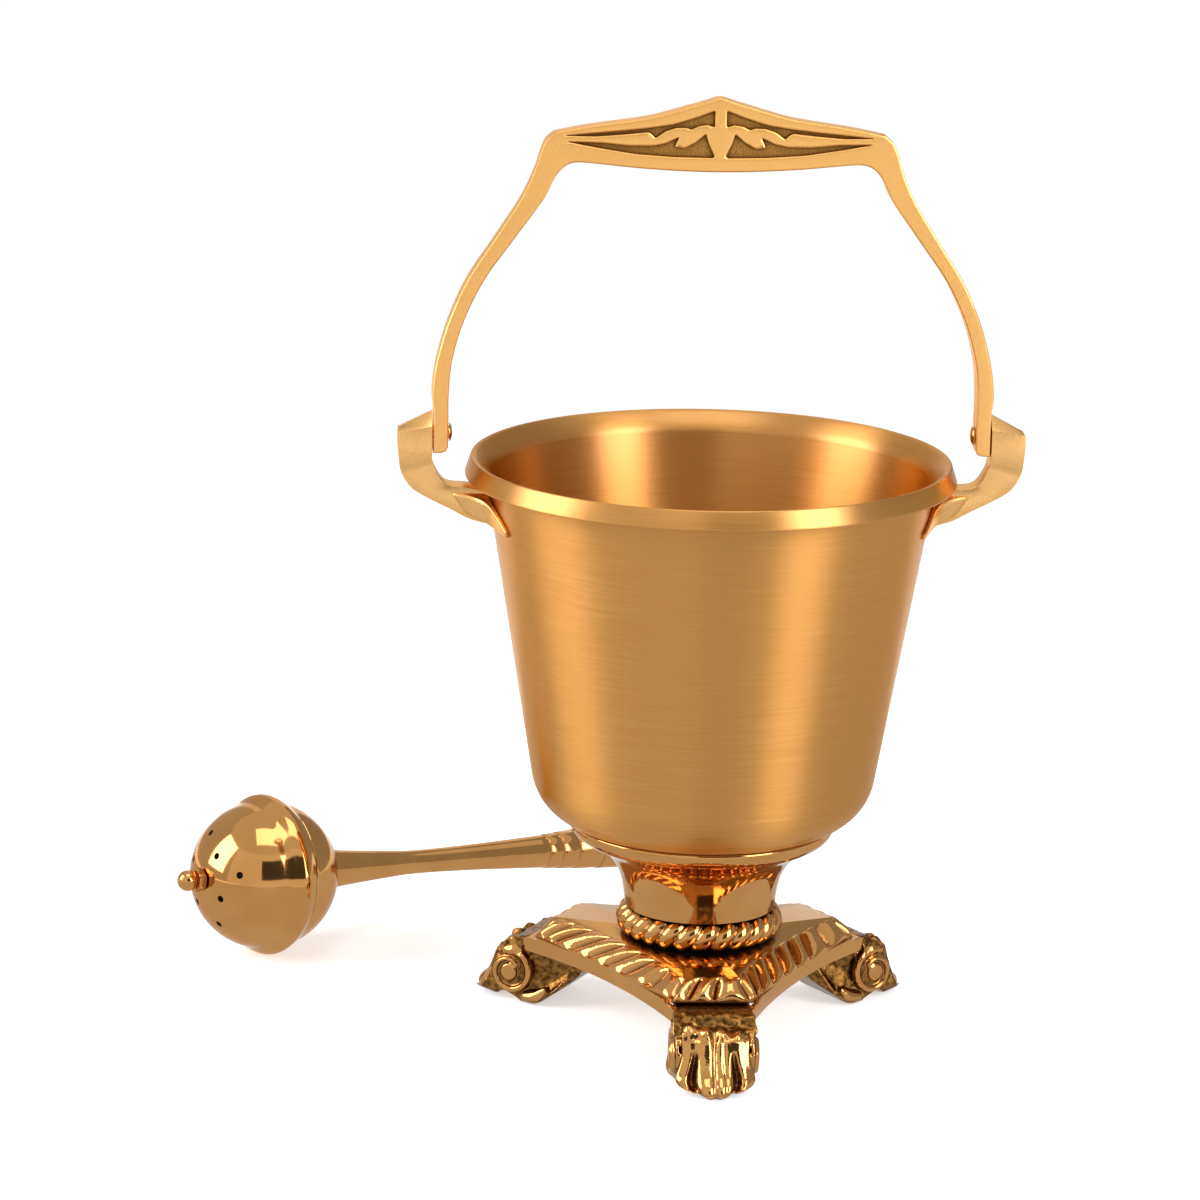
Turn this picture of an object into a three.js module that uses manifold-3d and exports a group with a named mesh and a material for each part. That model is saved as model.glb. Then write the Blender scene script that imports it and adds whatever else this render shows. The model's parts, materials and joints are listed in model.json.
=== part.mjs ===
// A holy water bucket with its sprinkler. Millimetres, +Z up.
// The bucket is worked out about its own axis, with its three feet on z = 0, its bail along X
// and one foot towards -Y. The sprinkler lies on the same table, behind and to the left.
import * as THREE from "three";
import { mergeVertices } from "three/addons/utils/BufferGeometryUtils.js";
import Module from "manifold-3d";

const wasm = await Module();
wasm.setup();

// Fits between pieces
const GAP = 0.3; // between pieces that touch, screw or turn on each other

// Bowl: a spun pail
const BOWL_FLOOR = 66.1; // underside of the floor above the table
const BOWL_TOP = 175.8; // top edge of the wall
const BOWL_TOP_RADIUS = 69.4; // outside of the wall at that edge
const BOWL_TAPER = 0.168; // radius lost for each millimetre down
const BOWL_KNUCKLE = 18; // radius that turns the wall into the floor
const BOWL_WALL = 1.5;

// Rim ring
const RIM_LEDGE = 6.6; // how far it stands out beyond the wall
const RIM_HEIGHT = 6;
const RIM_LEAN = 2; // how much smaller its ridge is than its foot
const RIM_RADIUS = BOWL_TOP_RADIUS + RIM_LEDGE;

// Plinth: a triangle with cut corners and hollowed sides
const PLINTH_TOP = 29.3;
const PLINTH_PLATE = 3.5;
const RIDGE_END = 46; // from the axis to the top's edge at a cut corner
const RIDGE_END_HALF = 8.8; // half that edge's length
const RIDGE_SAG = 3.6; // how far the long sides are hollowed
const BORDER_DROP = 6.5; // height of the gadrooned border
const EDGE_END = 51.2; // the same three for the border's lower edge
const EDGE_END_HALF = 12.4;
const EDGE_SAG = 1;
const LOBES_SIDE = 8;
const LOBES_END = 3;
const LOBE_SECTION = [0, 0.7, 1, 0.75]; // height across one lobe, as shares
const LOBE_HEIGHT = 1.5;
const LOBE_LEVEL = 0.4; // share of a lobe's height that lies below the border's plain slope
const LOBE_SLANT = 0.9; // of a lobe's width, from ridge to lower edge

// Apron: a plain strip under each long side
const APRON_MIDDLE = 35; // from the axis to its face at the middle
const APRON_BOW = 3.6; // further out than that at its ends
const APRON_HALF = 42.3; // half its length
const APRON_THICKNESS = 1.8;
const APRON_HEIGHT = 4.1; // at the middle
const APRON_ARCH = 0.9; // deeper than that at the ends
const APRON_ROUND = 2.6; // radius of its ends
const APRON_LAP = 0.4; // how far it runs up into the border

// Feet
const FOOT_ANGLES = { front: -90, left: 150, right: 30 }; // degrees about the axis
const FOOT_HEIGHT = PLINTH_TOP - BORDER_DROP;
const FOOT_HALF_WIDTH = 12;
const FOOT_TANG = 6.4; // half the width of the part that goes up under the plinth
const VOLUTE_PLACE = [9, 0.443]; // beyond the border's edge, and as a share of the foot's height
const VOLUTE_RADIUS = 7.5;
const VOLUTE_RISE = 1.9; // how far the scroll stands off the foot's side
const LEAF_LOBES = 4;

// Pedestal cup
const CUP_SEAT = 5.6; // how far up the bowl's knuckle the cup reaches
const NECK_HOLLOW = 12; // radius of the hollow in the neck
const NECK_WEB = 4; // thickness of the web that the rod passes

// Rope ring
const ROPE_RADIUS = 21.3; // middle of the ring's section
const ROPE_THICKNESS = 9.8; // across the section, over the strands
const ROPE_STRANDS = 26;
const ROPE_GROOVE = 1.1; // depth between the strands
const ROPE_TWIST = 2; // strands that one pass round the section climbs

// Rod that clamps bowl, cup, ring and plinth together
const ROD_RADIUS = 3;
const BOSS = { radius: 4.2 * ROD_RADIUS, height: 5 };
const WASHER = { radius: 3.6 * ROD_RADIUS, thickness: 2 };
const NUT = { radius: 1.9 * ROD_RADIUS, height: 1.7 * ROD_RADIUS };
const SCREW = { radius: 2, head: 3.4, headHeight: 2.4, cover: 1.2, ledge: 4 };
const SCREW_PLACE = RIDGE_END - 4.4; // from the axis

// Lugs and pivot
const LUG_FACE = RIM_RADIUS + 10.1; // inner face of the upright block
const PIVOT_HEIGHT = BOWL_TOP + 13.75;
const PIN_RADIUS = 2;
const PIN_HEAD = { radius: 2.9, height: 1.7 };
const PIN_SOCKET = 7; // depth of the pin's hole in the lug
const PAD_DROP = 14; // from the bowl's top edge to the pad's lower edge
const PAD_HEIGHT = 9.8;
const PAD_THICKNESS = 4.7; // at the middle
const PAD_TIP = 1.3; // and at the ends
const PAD_HALF_ANGLE = 20; // degrees round the wall

// Bail: its outlines are shares of half its span and of its rise above the pivots
const BAIL_SPAN = LUG_FACE - GAP; // half
const BAIL_RISE = 104.1;
const BAIL_THICKNESS = 4.6; // across an arm at the pivot
const BAIL_TAIL = 5.8; // below the pivot
const BAIL_DEPTH_END = 9; // front to back at the pivots
const BAIL_DEPTH_GRIP = 6.5;
const RELIEF_DEPTH = 0.9;

// Sprinkler, along its own axis: 0 at the middle of the head, the handle up its +Z
const HEAD_RADIUS = 24.2;
const HEAD_WALL = 1.5;
const BAND_RADIUS = HEAD_RADIUS + 2.1;
const BAND_HALF = 4.6;
const SPIGOT_LENGTH = 6.6;
const SPRAY_HOLE = 1; // radius
const SPRAY_RINGS = [{ polar: 24, turn: 27 }, { polar: 38, turn: 72 }]; // degrees, four holes each
const FINIAL = { ball: 3.4, collar: 7, collarLength: 2.6, stem: 1.3 };
const STUD_RADIUS = 2.4;
const STUD_END = 42;
const GRIP_START = 135.6;
const GRIP_END = 185;
const POMMEL = { radius: 8.8, place: 188.6 }; // its fullest part, on which it lies
const SPRINKLER_END = 193;
const SPRINKLER_PLACE = [-136.5, 71.5]; // of the head's middle, from the bucket's axis
const SPRINKLER_HEADING = 33; // degrees from +X to the way the handle points

const TURNS = 44; // facets round the big revolved pieces
const FINE = 28; // and round the small ones

const rad = THREE.MathUtils.degToRad;
const v2 = (x, y) => new THREE.Vector2(x, y);
const v3 = (x, y, z) => new THREE.Vector3(x, y, z);

// Six times the volume that a closed triangle mesh holds, negative when it faces inwards.
function signedVolume(geometry) {
  const at = geometry.attributes.position;
  const order = geometry.index;
  const count = order ? order.count : at.count;
  const corner = (k) => v3().fromBufferAttribute(at, order ? order.getX(k) : k);
  let sum = 0;
  for (let k = 0; k < count; k += 3) sum += corner(k).dot(corner(k + 1).cross(corner(k + 2)));
  return sum;
}

// Drops the faces that merging has brought down to a line, as at the axis of a revolved profile.
function withoutSlivers(geometry) {
  const from = geometry.index;
  const kept = [];
  for (let k = 0; k < from.count; k += 3) {
    const face = [from.getX(k), from.getX(k + 1), from.getX(k + 2)];
    if (new Set(face).size === 3) kept.push(...face);
  }
  geometry.setIndex(kept);
  return geometry;
}

// A closed geometry with only positions, its shared corners merged and its faces turned outwards.
function closed(geometry) {
  geometry.deleteAttribute("normal");
  geometry.deleteAttribute("uv");
  const merged = withoutSlivers(mergeVertices(geometry, 1e-3));
  if (signedVolume(merged) < 0) {
    const order = merged.index;
    for (let k = 0; k < order.count; k += 3) {
      const first = order.getX(k);
      order.setX(k, order.getX(k + 1));
      order.setX(k + 1, first);
    }
  }
  return merged;
}

function solid(geometry) {
  const whole = closed(geometry);
  return new wasm.Manifold(new wasm.Mesh({
    numProp: 3,
    vertProperties: new Float32Array(whole.attributes.position.array),
    triVerts: new Uint32Array(whole.index.array),
  }));
}

function geometryOf(body) {
  const mesh = body.getMesh();
  const geometry = new THREE.BufferGeometry();
  geometry.setAttribute("position", new THREE.BufferAttribute(new Float32Array(mesh.vertProperties), 3));
  geometry.setIndex(new THREE.BufferAttribute(new Uint32Array(mesh.triVerts), 1));
  return geometry;
}

// Turns a profile of [radius, height] points about Z.
function revolve(profile, turns = TURNS) {
  const points = profile.map(([radius, height]) => v2(Math.max(radius, 0), height));
  return new THREE.LatheGeometry(points, turns).rotateX(Math.PI / 2);
}

// A closed ring profile, turned about Z.
const revolveRing = (profile, turns = TURNS) => revolve([...profile, profile[0]], turns);

// Points on an arc from angle to angle, in degrees, both ends included.
function arc(x, y, radius, from, to, steps) {
  const points = [];
  for (let k = 0; k <= steps; k++) {
    const angle = rad(from + ((to - from) * k) / steps);
    points.push([x + radius * Math.cos(angle), y + radius * Math.sin(angle)]);
  }
  return points;
}

// Points on a smooth curve through the given ones.
function smooth(points, steps) {
  const curve = new THREE.SplineCurve(points.map(([x, y]) => v2(x, y)));
  return curve.getPoints(steps).map((p) => [p.x, p.y]);
}

// A flat outline drawn in X and Z, given a thickness along Y about y = middle.
function plate(outline, thickness, middle = 0) {
  const shape = new THREE.Shape(outline.map(([x, z]) => v2(x, z)));
  return new THREE.ExtrudeGeometry(shape, { depth: thickness, bevelEnabled: false })
    .translate(0, 0, -thickness / 2)
    .rotateX(Math.PI / 2)
    .translate(0, middle, 0);
}

// The faces that fill a ring of points, seen the way that makes the ring run anticlockwise.
function capFaces(ring) {
  const normal = v3();
  ring.forEach((p, k) => normal.add(p.clone().cross(ring[(k + 1) % ring.length])));
  const level = new THREE.Quaternion().setFromUnitVectors(normal.normalize(), v3(0, 0, 1));
  const flat = ring.map((p) => p.clone().applyQuaternion(level)).map((p) => v2(p.x, p.y));
  return THREE.ShapeUtils.triangulateShape(flat, []);
}

// A skin over equal rings of points. The last ring joins the first, or each end is a flat cap.
function skin(rings, joined = false) {
  const size = rings[0].length;
  const positions = rings.flat().flatMap((p) => [p.x, p.y, p.z]);
  const order = [];
  const spans = joined ? rings.length : rings.length - 1;
  for (let r = 0; r < spans; r++) {
    const here = r * size;
    const next = ((r + 1) % rings.length) * size;
    for (let k = 0; k < size; k++) {
      const across = (k + 1) % size;
      order.push(here + k, here + across, next + across, here + k, next + across, next + k);
    }
  }
  if (!joined) {
    const last = (rings.length - 1) * size;
    for (const [a, b, c] of capFaces(rings[0])) order.push(a, c, b);
    for (const [a, b, c] of capFaces(rings.at(-1))) order.push(last + a, last + b, last + c);
  }
  const geometry = new THREE.BufferGeometry();
  geometry.setAttribute("position", new THREE.Float32BufferAttribute(positions, 3));
  geometry.setIndex(order);
  return geometry;
}

const cylinder = (radius, from, to, turns = FINE) =>
  new THREE.CylinderGeometry(radius, radius, to - from, turns)
    .rotateX(Math.PI / 2)
    .translate(0, 0, (from + to) / 2);

// The same along X, at a height.
const crossPin = (radius, from, to, height, turns = 16) =>
  new THREE.CylinderGeometry(radius, radius, Math.abs(to - from), turns)
    .rotateZ(Math.PI / 2)
    .translate((from + to) / 2, 0, height);

const brass = (color, roughness) => new THREE.MeshStandardMaterial({ color, roughness, metalness: 1 });
const satin = () => brass(0xd9a05b, 0.35);
const polished = () => brass(0xd79b4a, 0.08);
const steel = () => new THREE.MeshStandardMaterial({ color: 0x9a9388, roughness: 0.4, metalness: 1 });
const foam = () => new THREE.MeshStandardMaterial({ color: 0xd8c79a, roughness: 0.95, metalness: 0 });

function piece(name, geometry, material) {
  const mesh = new THREE.Mesh(closed(geometry), material);
  mesh.name = name;
  return mesh;
}

// Bowl

const wallRadius = (height) => BOWL_TOP_RADIUS - (BOWL_TOP - height) * BOWL_TAPER;
const wallSlope = Math.hypot(1, BOWL_TAPER);
const knuckleHeight = BOWL_FLOOR + BOWL_KNUCKLE;
const knuckleRadius = wallRadius(knuckleHeight) - BOWL_KNUCKLE * wallSlope; // of the flat floor

// The bowl's outer profile, or one that lies inside it by inset: floor, knuckle, wall.
function bowlProfile(inset, steps = 6) {
  const lean = THREE.MathUtils.radToDeg(Math.atan(BOWL_TAPER));
  const knuckle = arc(knuckleRadius, knuckleHeight, BOWL_KNUCKLE - inset, -90, -lean, steps);
  return [[0, BOWL_FLOOR + inset], ...knuckle, [BOWL_TOP_RADIUS - inset * wallSlope, BOWL_TOP]];
}

const bowl = () => revolve([...bowlProfile(0), ...bowlProfile(BOWL_WALL).reverse()]);

function rimRing() {
  const foot = BOWL_TOP + GAP;
  const ridge = foot + RIM_HEIGHT;
  const inner = BOWL_TOP_RADIUS - BOWL_WALL;
  const mouth = RIM_RADIUS - RIM_LEAN - 0.9; // inner edge of the ridge
  // A quarter of an ellipse, hollow towards the mouth.
  const flare = [0.2, 0.42, 0.66, 0.88].map((t) => [
    inner + (mouth - inner) * (1 - Math.sqrt(1 - (1 - t) ** 2)) + 0.5 * (1 - t) * (mouth - inner) * t,
    ridge - t * RIM_HEIGHT,
  ]);
  return revolveRing([
    [inner, foot],
    [RIM_RADIUS - 0.5, foot],
    [RIM_RADIUS, foot + 0.5],
    [RIM_RADIUS - RIM_LEAN + 0.6, ridge - 0.4],
    [RIM_RADIUS - RIM_LEAN, ridge],
    [mouth, ridge],
    ...flare,
  ]);
}

// Pedestal cup

const ropeHeight = PLINTH_TOP + GAP + ROPE_THICKNESS / 2; // middle of the ring's section
const cupLip = knuckleRadius + CUP_SEAT;
const cupLipHeight = knuckleHeight - Math.sqrt(BOWL_KNUCKLE ** 2 - CUP_SEAT ** 2) - GAP;

function pedestalCup() {
  const seat = ROPE_THICKNESS / 2 + GAP;
  const seatArc = arc(ROPE_RADIUS, ropeHeight, seat, 64, 180, 6);
  const [footRadius, footHeight] = seatArc[0];
  // Places on the outside, as shares of the way out and up from the neck's foot to the lip.
  const at = (out, up) => [
    footRadius + (cupLip - footRadius) * out,
    footHeight + (cupLipHeight - footHeight) * up,
  ];
  const outside = smooth([
    at(1, 1), at(1.005, 0.945), at(0.96, 0.88), at(0.83, 0.807), at(0.6, 0.735), at(0.4, 0.647),
    at(0.24, 0.531), at(0.125, 0.4), at(0.06, 0.269), at(0.025, 0.138), at(0, 0),
  ], 14);
  const webTop = PLINTH_TOP + NECK_WEB;
  const underBowl = bowlProfile(-GAP).filter(([r]) => r > 0.8 * knuckleRadius && r < cupLip - 1);
  return revolveRing([
    ...outside,
    ...seatArc.slice(1),
    [ROPE_RADIUS - seat, PLINTH_TOP + GAP],
    [ROD_RADIUS + GAP, PLINTH_TOP + GAP],
    [ROD_RADIUS + GAP, webTop],
    [NECK_HOLLOW, webTop],
    [NECK_HOLLOW, at(0, 0.3)[1]],
    [NECK_HOLLOW + 4.5, at(0, 0.55)[1]],
    [0.8 * knuckleRadius, at(0, 0.78)[1]],
    [0.8 * knuckleRadius, BOWL_FLOOR - GAP],
    ...underBowl,
  ], 36);
}

// Rope ring: the strands lie side by side round the ring and climb round its section.
function ropeRing() {
  const around = 9;
  const samples = ROPE_STRANDS * 4;
  const rings = [];
  for (let s = 0; s < samples; s++) {
    const turn = (2 * Math.PI * s) / samples;
    const ring = [];
    for (let k = 0; k < around; k++) {
      const section = (2 * Math.PI * k) / around;
      const phase = (ROPE_STRANDS * turn - ROPE_TWIST * section) / 2;
      const radius = ROPE_THICKNESS / 2 - ROPE_GROOVE * (1 - Math.abs(Math.sin(phase)) ** 0.7);
      const out = ROPE_RADIUS + radius * Math.cos(section);
      ring.push(v3(out * Math.cos(turn), out * Math.sin(turn), ropeHeight + radius * Math.sin(section)));
    }
    rings.push(ring);
  }
  return skin(rings, true);
}

// Plinth

// The place on a closed three-sided outline at a share of one stretch: each cut corner is a stretch,
// and so is each side. Sides bow inwards by sag.
function outlinePlace(stretch, share, end, half, sag) {
  const corner = (angle, side) => v2(end, side * half).rotateAround(v2(0, 0), rad(angle));
  const from = corner(stretch.angle, stretch.isSide ? 1 : -1);
  const to = corner(stretch.angle + (stretch.isSide ? 120 : 0), stretch.isSide ? -1 : 1);
  const along = to.clone().sub(from);
  const outward = v2(along.y, -along.x).normalize();
  const bow = stretch.isSide ? 4 * share * (1 - share) * sag : 0;
  return from.lerp(to, share).addScaledVector(outward, -bow);
}

function plinthStations() {
  const stations = [];
  for (const angle of Object.values(FOOT_ANGLES)) {
    for (const isSide of [false, true]) {
      const lobes = isSide ? LOBES_SIDE : LOBES_END;
      const steps = lobes * LOBE_SECTION.length;
      for (let k = 0; k < steps; k++) stations.push({ angle, isSide, lobes, k, share: k / steps });
    }
  }
  return stations.sort((a, b) => (a.angle + 360) % 360 - (b.angle + 360) % 360);
}

// One ring round the plinth: down is 0 on the ridge and 1 at the lower edge, swell raises the lobes.
function plinthRing(stations, down, height, swell = 0) {
  return stations.map((s) => {
    // The lobes lean, but for the ones beside a corner, which it cuts.
    const room = Math.min(1, 4 * s.share, 4 * (1 - s.share));
    const share = s.share - (room * LOBE_SLANT * Math.max(down, 0)) / s.lobes * (s.isSide ? 1 : 0.4);
    const ridge = outlinePlace(s, share, RIDGE_END, RIDGE_END_HALF, RIDGE_SAG);
    const edge = outlinePlace(s, share, EDGE_END, EDGE_END_HALF, EDGE_SAG);
    const place = ridge.clone().lerp(edge, down);
    const raised = swell * LOBE_HEIGHT * (LOBE_SECTION[s.k % LOBE_SECTION.length] - LOBE_LEVEL);
    const aslant = raised * Math.SQRT1_2; // as far out as up
    place.addScaledVector(edge.clone().sub(ridge).normalize(), aslant);
    return v3(place.x, place.y, height + aslant);
  });
}

const edgeHeight = PLINTH_TOP - BORDER_DROP;
const plateUnder = PLINTH_TOP - PLINTH_PLATE;

function plinthBody() {
  const stations = plinthStations();
  const slope = (down) => PLINTH_TOP - (BORDER_DROP - 1) * down;
  const hole = (height) => plinthRing(stations, 0, height).map((p) => {
    const flat = v2(p.x, p.y).normalize().multiplyScalar(ROD_RADIUS + GAP);
    return v3(flat.x, flat.y, height);
  });
  return skin([
    hole(PLINTH_TOP),
    plinthRing(stations, 0, PLINTH_TOP),
    plinthRing(stations, 0.3, slope(0.3), 0.5),
    plinthRing(stations, 0.62, slope(0.62), 1),
    plinthRing(stations, 0.88, slope(0.88), 0.8),
    plinthRing(stations, 1, slope(1)),
    plinthRing(stations, 1, edgeHeight),
    plinthRing(stations, 0.5, edgeHeight),
    plinthRing(stations, -0.15, plateUnder),
    hole(plateUnder),
  ], true);
}

// The strip under the side that follows a foot, anticlockwise, grown all round by a clearance.
function apron(angle, grow = 0) {
  const rings = [];
  const steps = 18;
  const half = APRON_HALF + grow;
  for (let k = 0; k <= steps; k++) {
    const share = Math.sin(((k / steps) - 0.5) * Math.PI); // closer together towards the ends
    const reach = Math.max(0, (Math.abs(share) * half - (half - APRON_ROUND)) / APRON_ROUND);
    const rounding = APRON_ROUND * (1 - Math.sqrt(Math.max(0, 1 - reach * reach)));
    const face = APRON_MIDDLE + APRON_BOW * share * share;
    const isUnderBorder = Math.abs(share) * half < 0.78 * RIDGE_END; // and beyond that it is free
    const top = edgeHeight + (isUnderBorder ? APRON_LAP : -GAP) + grow - 0.6 * rounding;
    const foot = edgeHeight - APRON_HEIGHT - APRON_ARCH * share * share - grow + 0.7 * rounding;
    const section = [[face + grow, top], [face + grow, foot],
      [face - APRON_THICKNESS - grow, foot], [face - APRON_THICKNESS - grow, top]];
    rings.push(section.map(([out, up]) => v3(out, share * half, up)));
  }
  return skin(rings).rotateZ(rad(angle + 60));
}

function plinth() {
  let body = solid(plinthBody());
  for (const angle of Object.values(FOOT_ANGLES)) {
    const screw = cylinder(SCREW.radius + GAP, plateUnder - 5, PLINTH_TOP - SCREW.cover, 16)
      .translate(SCREW_PLACE, 0, 0)
      .rotateZ(rad(angle));
    body = body.add(solid(apron(angle))).subtract(solid(screw));
  }
  return geometryOf(body);
}

// Feet, worked out with the foot pointing along +X. A place is given as how far it is beyond
// the border's edge, and as a share of the foot's height.

const footPlace = (out, up) => [EDGE_END + out, FOOT_HEIGHT * up];
const footFace = edgeHeight - GAP; // where it meets the border from below
const tangTop = plateUnder - GAP;

// The plinth is hollow below from here inwards, at the level of its edge and of its plate.
const hollowFoot = (RIDGE_END + EDGE_END) / 2;
const hollowTop = RIDGE_END - 0.15 * (EDGE_END - RIDGE_END);
const tangStep = edgeHeight + 0.6;
const tangEnd = THREE.MathUtils.mapLinear(tangStep, edgeHeight, plateUnder, hollowFoot, hollowTop) - GAP;

// Side outline of the body: tang, shoulder, back, the hollow under the toe, heel and tail.
function footOutline() {
  const heel = EDGE_END - 0.8;
  const tailEnd = SCREW_PLACE - 4.4;
  const tailPlace = (share, up) => [heel + (tailEnd - heel) * share, FOOT_HEIGHT * up];
  const back = smooth([footPlace(5, 0.965), footPlace(8.8, 0.9), footPlace(11, 0.75),
    footPlace(12.8, 0.55), footPlace(14.4, 0.34), footPlace(14.8, 0.2)], 8);
  const underToe = smooth([footPlace(13.8, 0.13), footPlace(10.3, 0.1), footPlace(6.8, 0.045),
    footPlace(4.6, 0)], 5);
  const tail = smooth([tailPlace(0, 0), tailPlace(0.26, 0.12), tailPlace(0.53, 0.36),
    tailPlace(0.8, 0.6), tailPlace(1, 0.82)], 6);
  return [
    [hollowTop - 1.2, tangTop],
    [tangEnd, tangStep],
    [tangEnd, footFace],
    ...back,
    ...underToe,
    ...tail,
    [tailEnd - 0.6, tangTop],
  ];
}

// The scroll on a side: a disc, and on it a spiral ridge that winds in to a boss.
function volute(side) {
  const [out, up] = footPlace(...VOLUTE_PLACE);
  const base = FOOT_HALF_WIDTH - 1;
  const disc = new THREE.CylinderGeometry(VOLUTE_RADIUS - 0.8, VOLUTE_RADIUS, 1.4, 20)
    .translate(0, base + 0.7, 0);
  const boss = new THREE.CylinderGeometry(1.9, 2.5, VOLUTE_RISE + 1.2, 12)
    .translate(0, base + (VOLUTE_RISE + 1.2) / 2, 0);
  const rings = [];
  const steps = 14;
  for (let k = 0; k <= steps; k++) {
    const share = k / steps;
    const angle = rad(100 + 300 * share);
    const radius = VOLUTE_RADIUS * (1 - 0.55 * share);
    const half = 1.1 - 0.4 * share;
    const section = [[-half, base], [half, base], [0.5 * half, FOOT_HALF_WIDTH + VOLUTE_RISE * 0.8],
      [-0.5 * half, FOOT_HALF_WIDTH + VOLUTE_RISE * 0.8]];
    rings.push(section.map(([more, y]) => v3(
      (radius + more) * Math.cos(angle), y, (radius + more) * Math.sin(angle))));
  }
  return [disc, boss, skin(rings)].map((part) => solid(part.scale(1, side, 1).translate(out, 0, up)));
}

// A stack of level slices that bulges forward: each is [height, back, front, half width, crown,
// depth between its lobes], the front being drawn back by crown at the slice's sides.
function slices(levels, lobes) {
  const across = lobes ? lobes * 4 : 4;
  return skin(levels.map(([up, back, front, half, crown, flute]) => {
    const ring = [];
    for (let k = 0; k <= across; k++) {
      const v = (2 * k) / across - 1;
      const dent = lobes ? flute * (1 - Math.abs(Math.sin((Math.PI * lobes * k) / across)) ** 0.7) : 0;
      ring.push(v3(EDGE_END + front - crown * v * v - dent, half * v, FOOT_HEIGHT * up));
    }
    ring.push(v3(EDGE_END + back, half, FOOT_HEIGHT * up));
    ring.push(v3(EDGE_END + back, -half, FOOT_HEIGHT * up));
    return ring;
  }));
}

// The band between border and leaf, which flares as it goes down.
const footShoulder = () => slices([
  [0.68, 5.4, 13.8, 12.2, 1.2, 0],
  [0.76, 4.4, 13.6, 13.7, 1.4, 0],
  [0.85, 3.8, 12.2, 13.3, 1.4, 0],
  [0.93, 3.6, 9.8, 12.6, 1.2, 0],
  [0.975, 3.4, 6.6, 11.8, 0.6, 0],
], 0);

// The leaf down the foot's back: four lobes, the outer ones splayed and shorter.
const footLeaf = () => slices([
  [0, 16, 24.8, 7.6, 2.6, 1.4],
  [0.026, 15.3, 25.8, 11.6, 8, 2.2],
  [0.08, 13.3, 26, 12.4, 7.8, 2.4],
  [0.16, 10.3, 24.8, 12.3, 6.4, 2.4],
  [0.255, 7.8, 22.6, 11.6, 4.8, 2.1],
  [0.37, 6.8, 20.4, 10.7, 3.4, 1.8],
  [0.5, 6.8, 18.4, 10, 2.5, 1.5],
  [0.66, 6.8, 16.4, 9.8, 1.9, 1.2],
  [0.8, 6.8, 14.2, 10.1, 1.4, 0.8],
  [0.9, 6.8, 12, 10.3, 1.2, 0.5],
], LEAF_LOBES);

function foot(angle) {
  let body = solid(plate(footOutline(), 2 * FOOT_HALF_WIDTH));
  for (const side of [-1, 1]) {
    // The tang and the tail are narrower than the rest.
    const relief = new THREE.BoxGeometry(30, 20, 60).translate(
      tangEnd - 1.8 - 15, side * (FOOT_TANG + 10), 30);
    const step = new THREE.BoxGeometry(20, 20, 20).translate(
      tangEnd, side * (FOOT_TANG + 10), footFace + 10);
    body = body.subtract(solid(relief)).subtract(solid(step));
  }
  body = body.add(solid(footShoulder())).add(solid(footLeaf()));
  for (const side of [-1, 1]) for (const part of volute(side)) body = body.add(part);
  for (const before of [0, -120]) body = body.subtract(solid(apron(before, GAP)));
  const ground = new THREE.BoxGeometry(80, 60, 10).translate(60, 0, -5);
  const ledge = tangTop - SCREW.ledge;
  const screw = cylinder(SCREW.radius + GAP, ledge - 1, tangTop + 1, 16).translate(SCREW_PLACE, 0, 0);
  const sink = cylinder(SCREW.head + GAP, 0, ledge, 16).translate(SCREW_PLACE, 0, 0);
  body = body.subtract(solid(ground)).subtract(solid(screw)).subtract(solid(sink));
  return geometryOf(body).rotateZ(rad(angle));
}

function footScrew(angle) {
  const seat = tangTop - SCREW.ledge - GAP;
  const top = PLINTH_TOP - SCREW.cover - GAP;
  return revolve([
    [0, seat - SCREW.headHeight],
    [SCREW.head, seat - SCREW.headHeight],
    [SCREW.head, seat],
    [SCREW.radius, seat],
    [SCREW.radius, top],
    [0, top],
  ], 16).translate(SCREW_PLACE, 0, 0).rotateZ(rad(angle));
}

// Rod, boss, washer and nut

const washerTop = plateUnder - GAP;
const nutTop = washerTop - WASHER.thickness - GAP;
const rodTop = BOWL_FLOOR - 1.2; // the rod's blind hole in the boss ends here

const bowlBoss = () => revolve([
  [0, BOWL_FLOOR - GAP],
  [BOSS.radius, BOWL_FLOOR - GAP],
  [BOSS.radius - 1, BOWL_FLOOR - GAP - BOSS.height],
  [ROD_RADIUS + GAP, BOWL_FLOOR - GAP - BOSS.height],
  [ROD_RADIUS + GAP, rodTop],
  [0, rodTop],
], FINE);

const tieRod = () => cylinder(ROD_RADIUS, nutTop - NUT.height - 2, rodTop - GAP, 20);

const washer = () => revolveRing([
  [ROD_RADIUS + GAP, washerTop - WASHER.thickness],
  [WASHER.radius, washerTop - WASHER.thickness],
  [WASHER.radius, washerTop],
  [ROD_RADIUS + GAP, washerTop],
], FINE);

function nut() {
  const hex = cylinder(NUT.radius, nutTop - NUT.height, nutTop, 6);
  const bore = cylinder(ROD_RADIUS + GAP, nutTop - NUT.height - 1, nutTop + 1, 20);
  return geometryOf(solid(hex).subtract(solid(bore)));
}

// Lugs, worked out on the +X side

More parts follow.
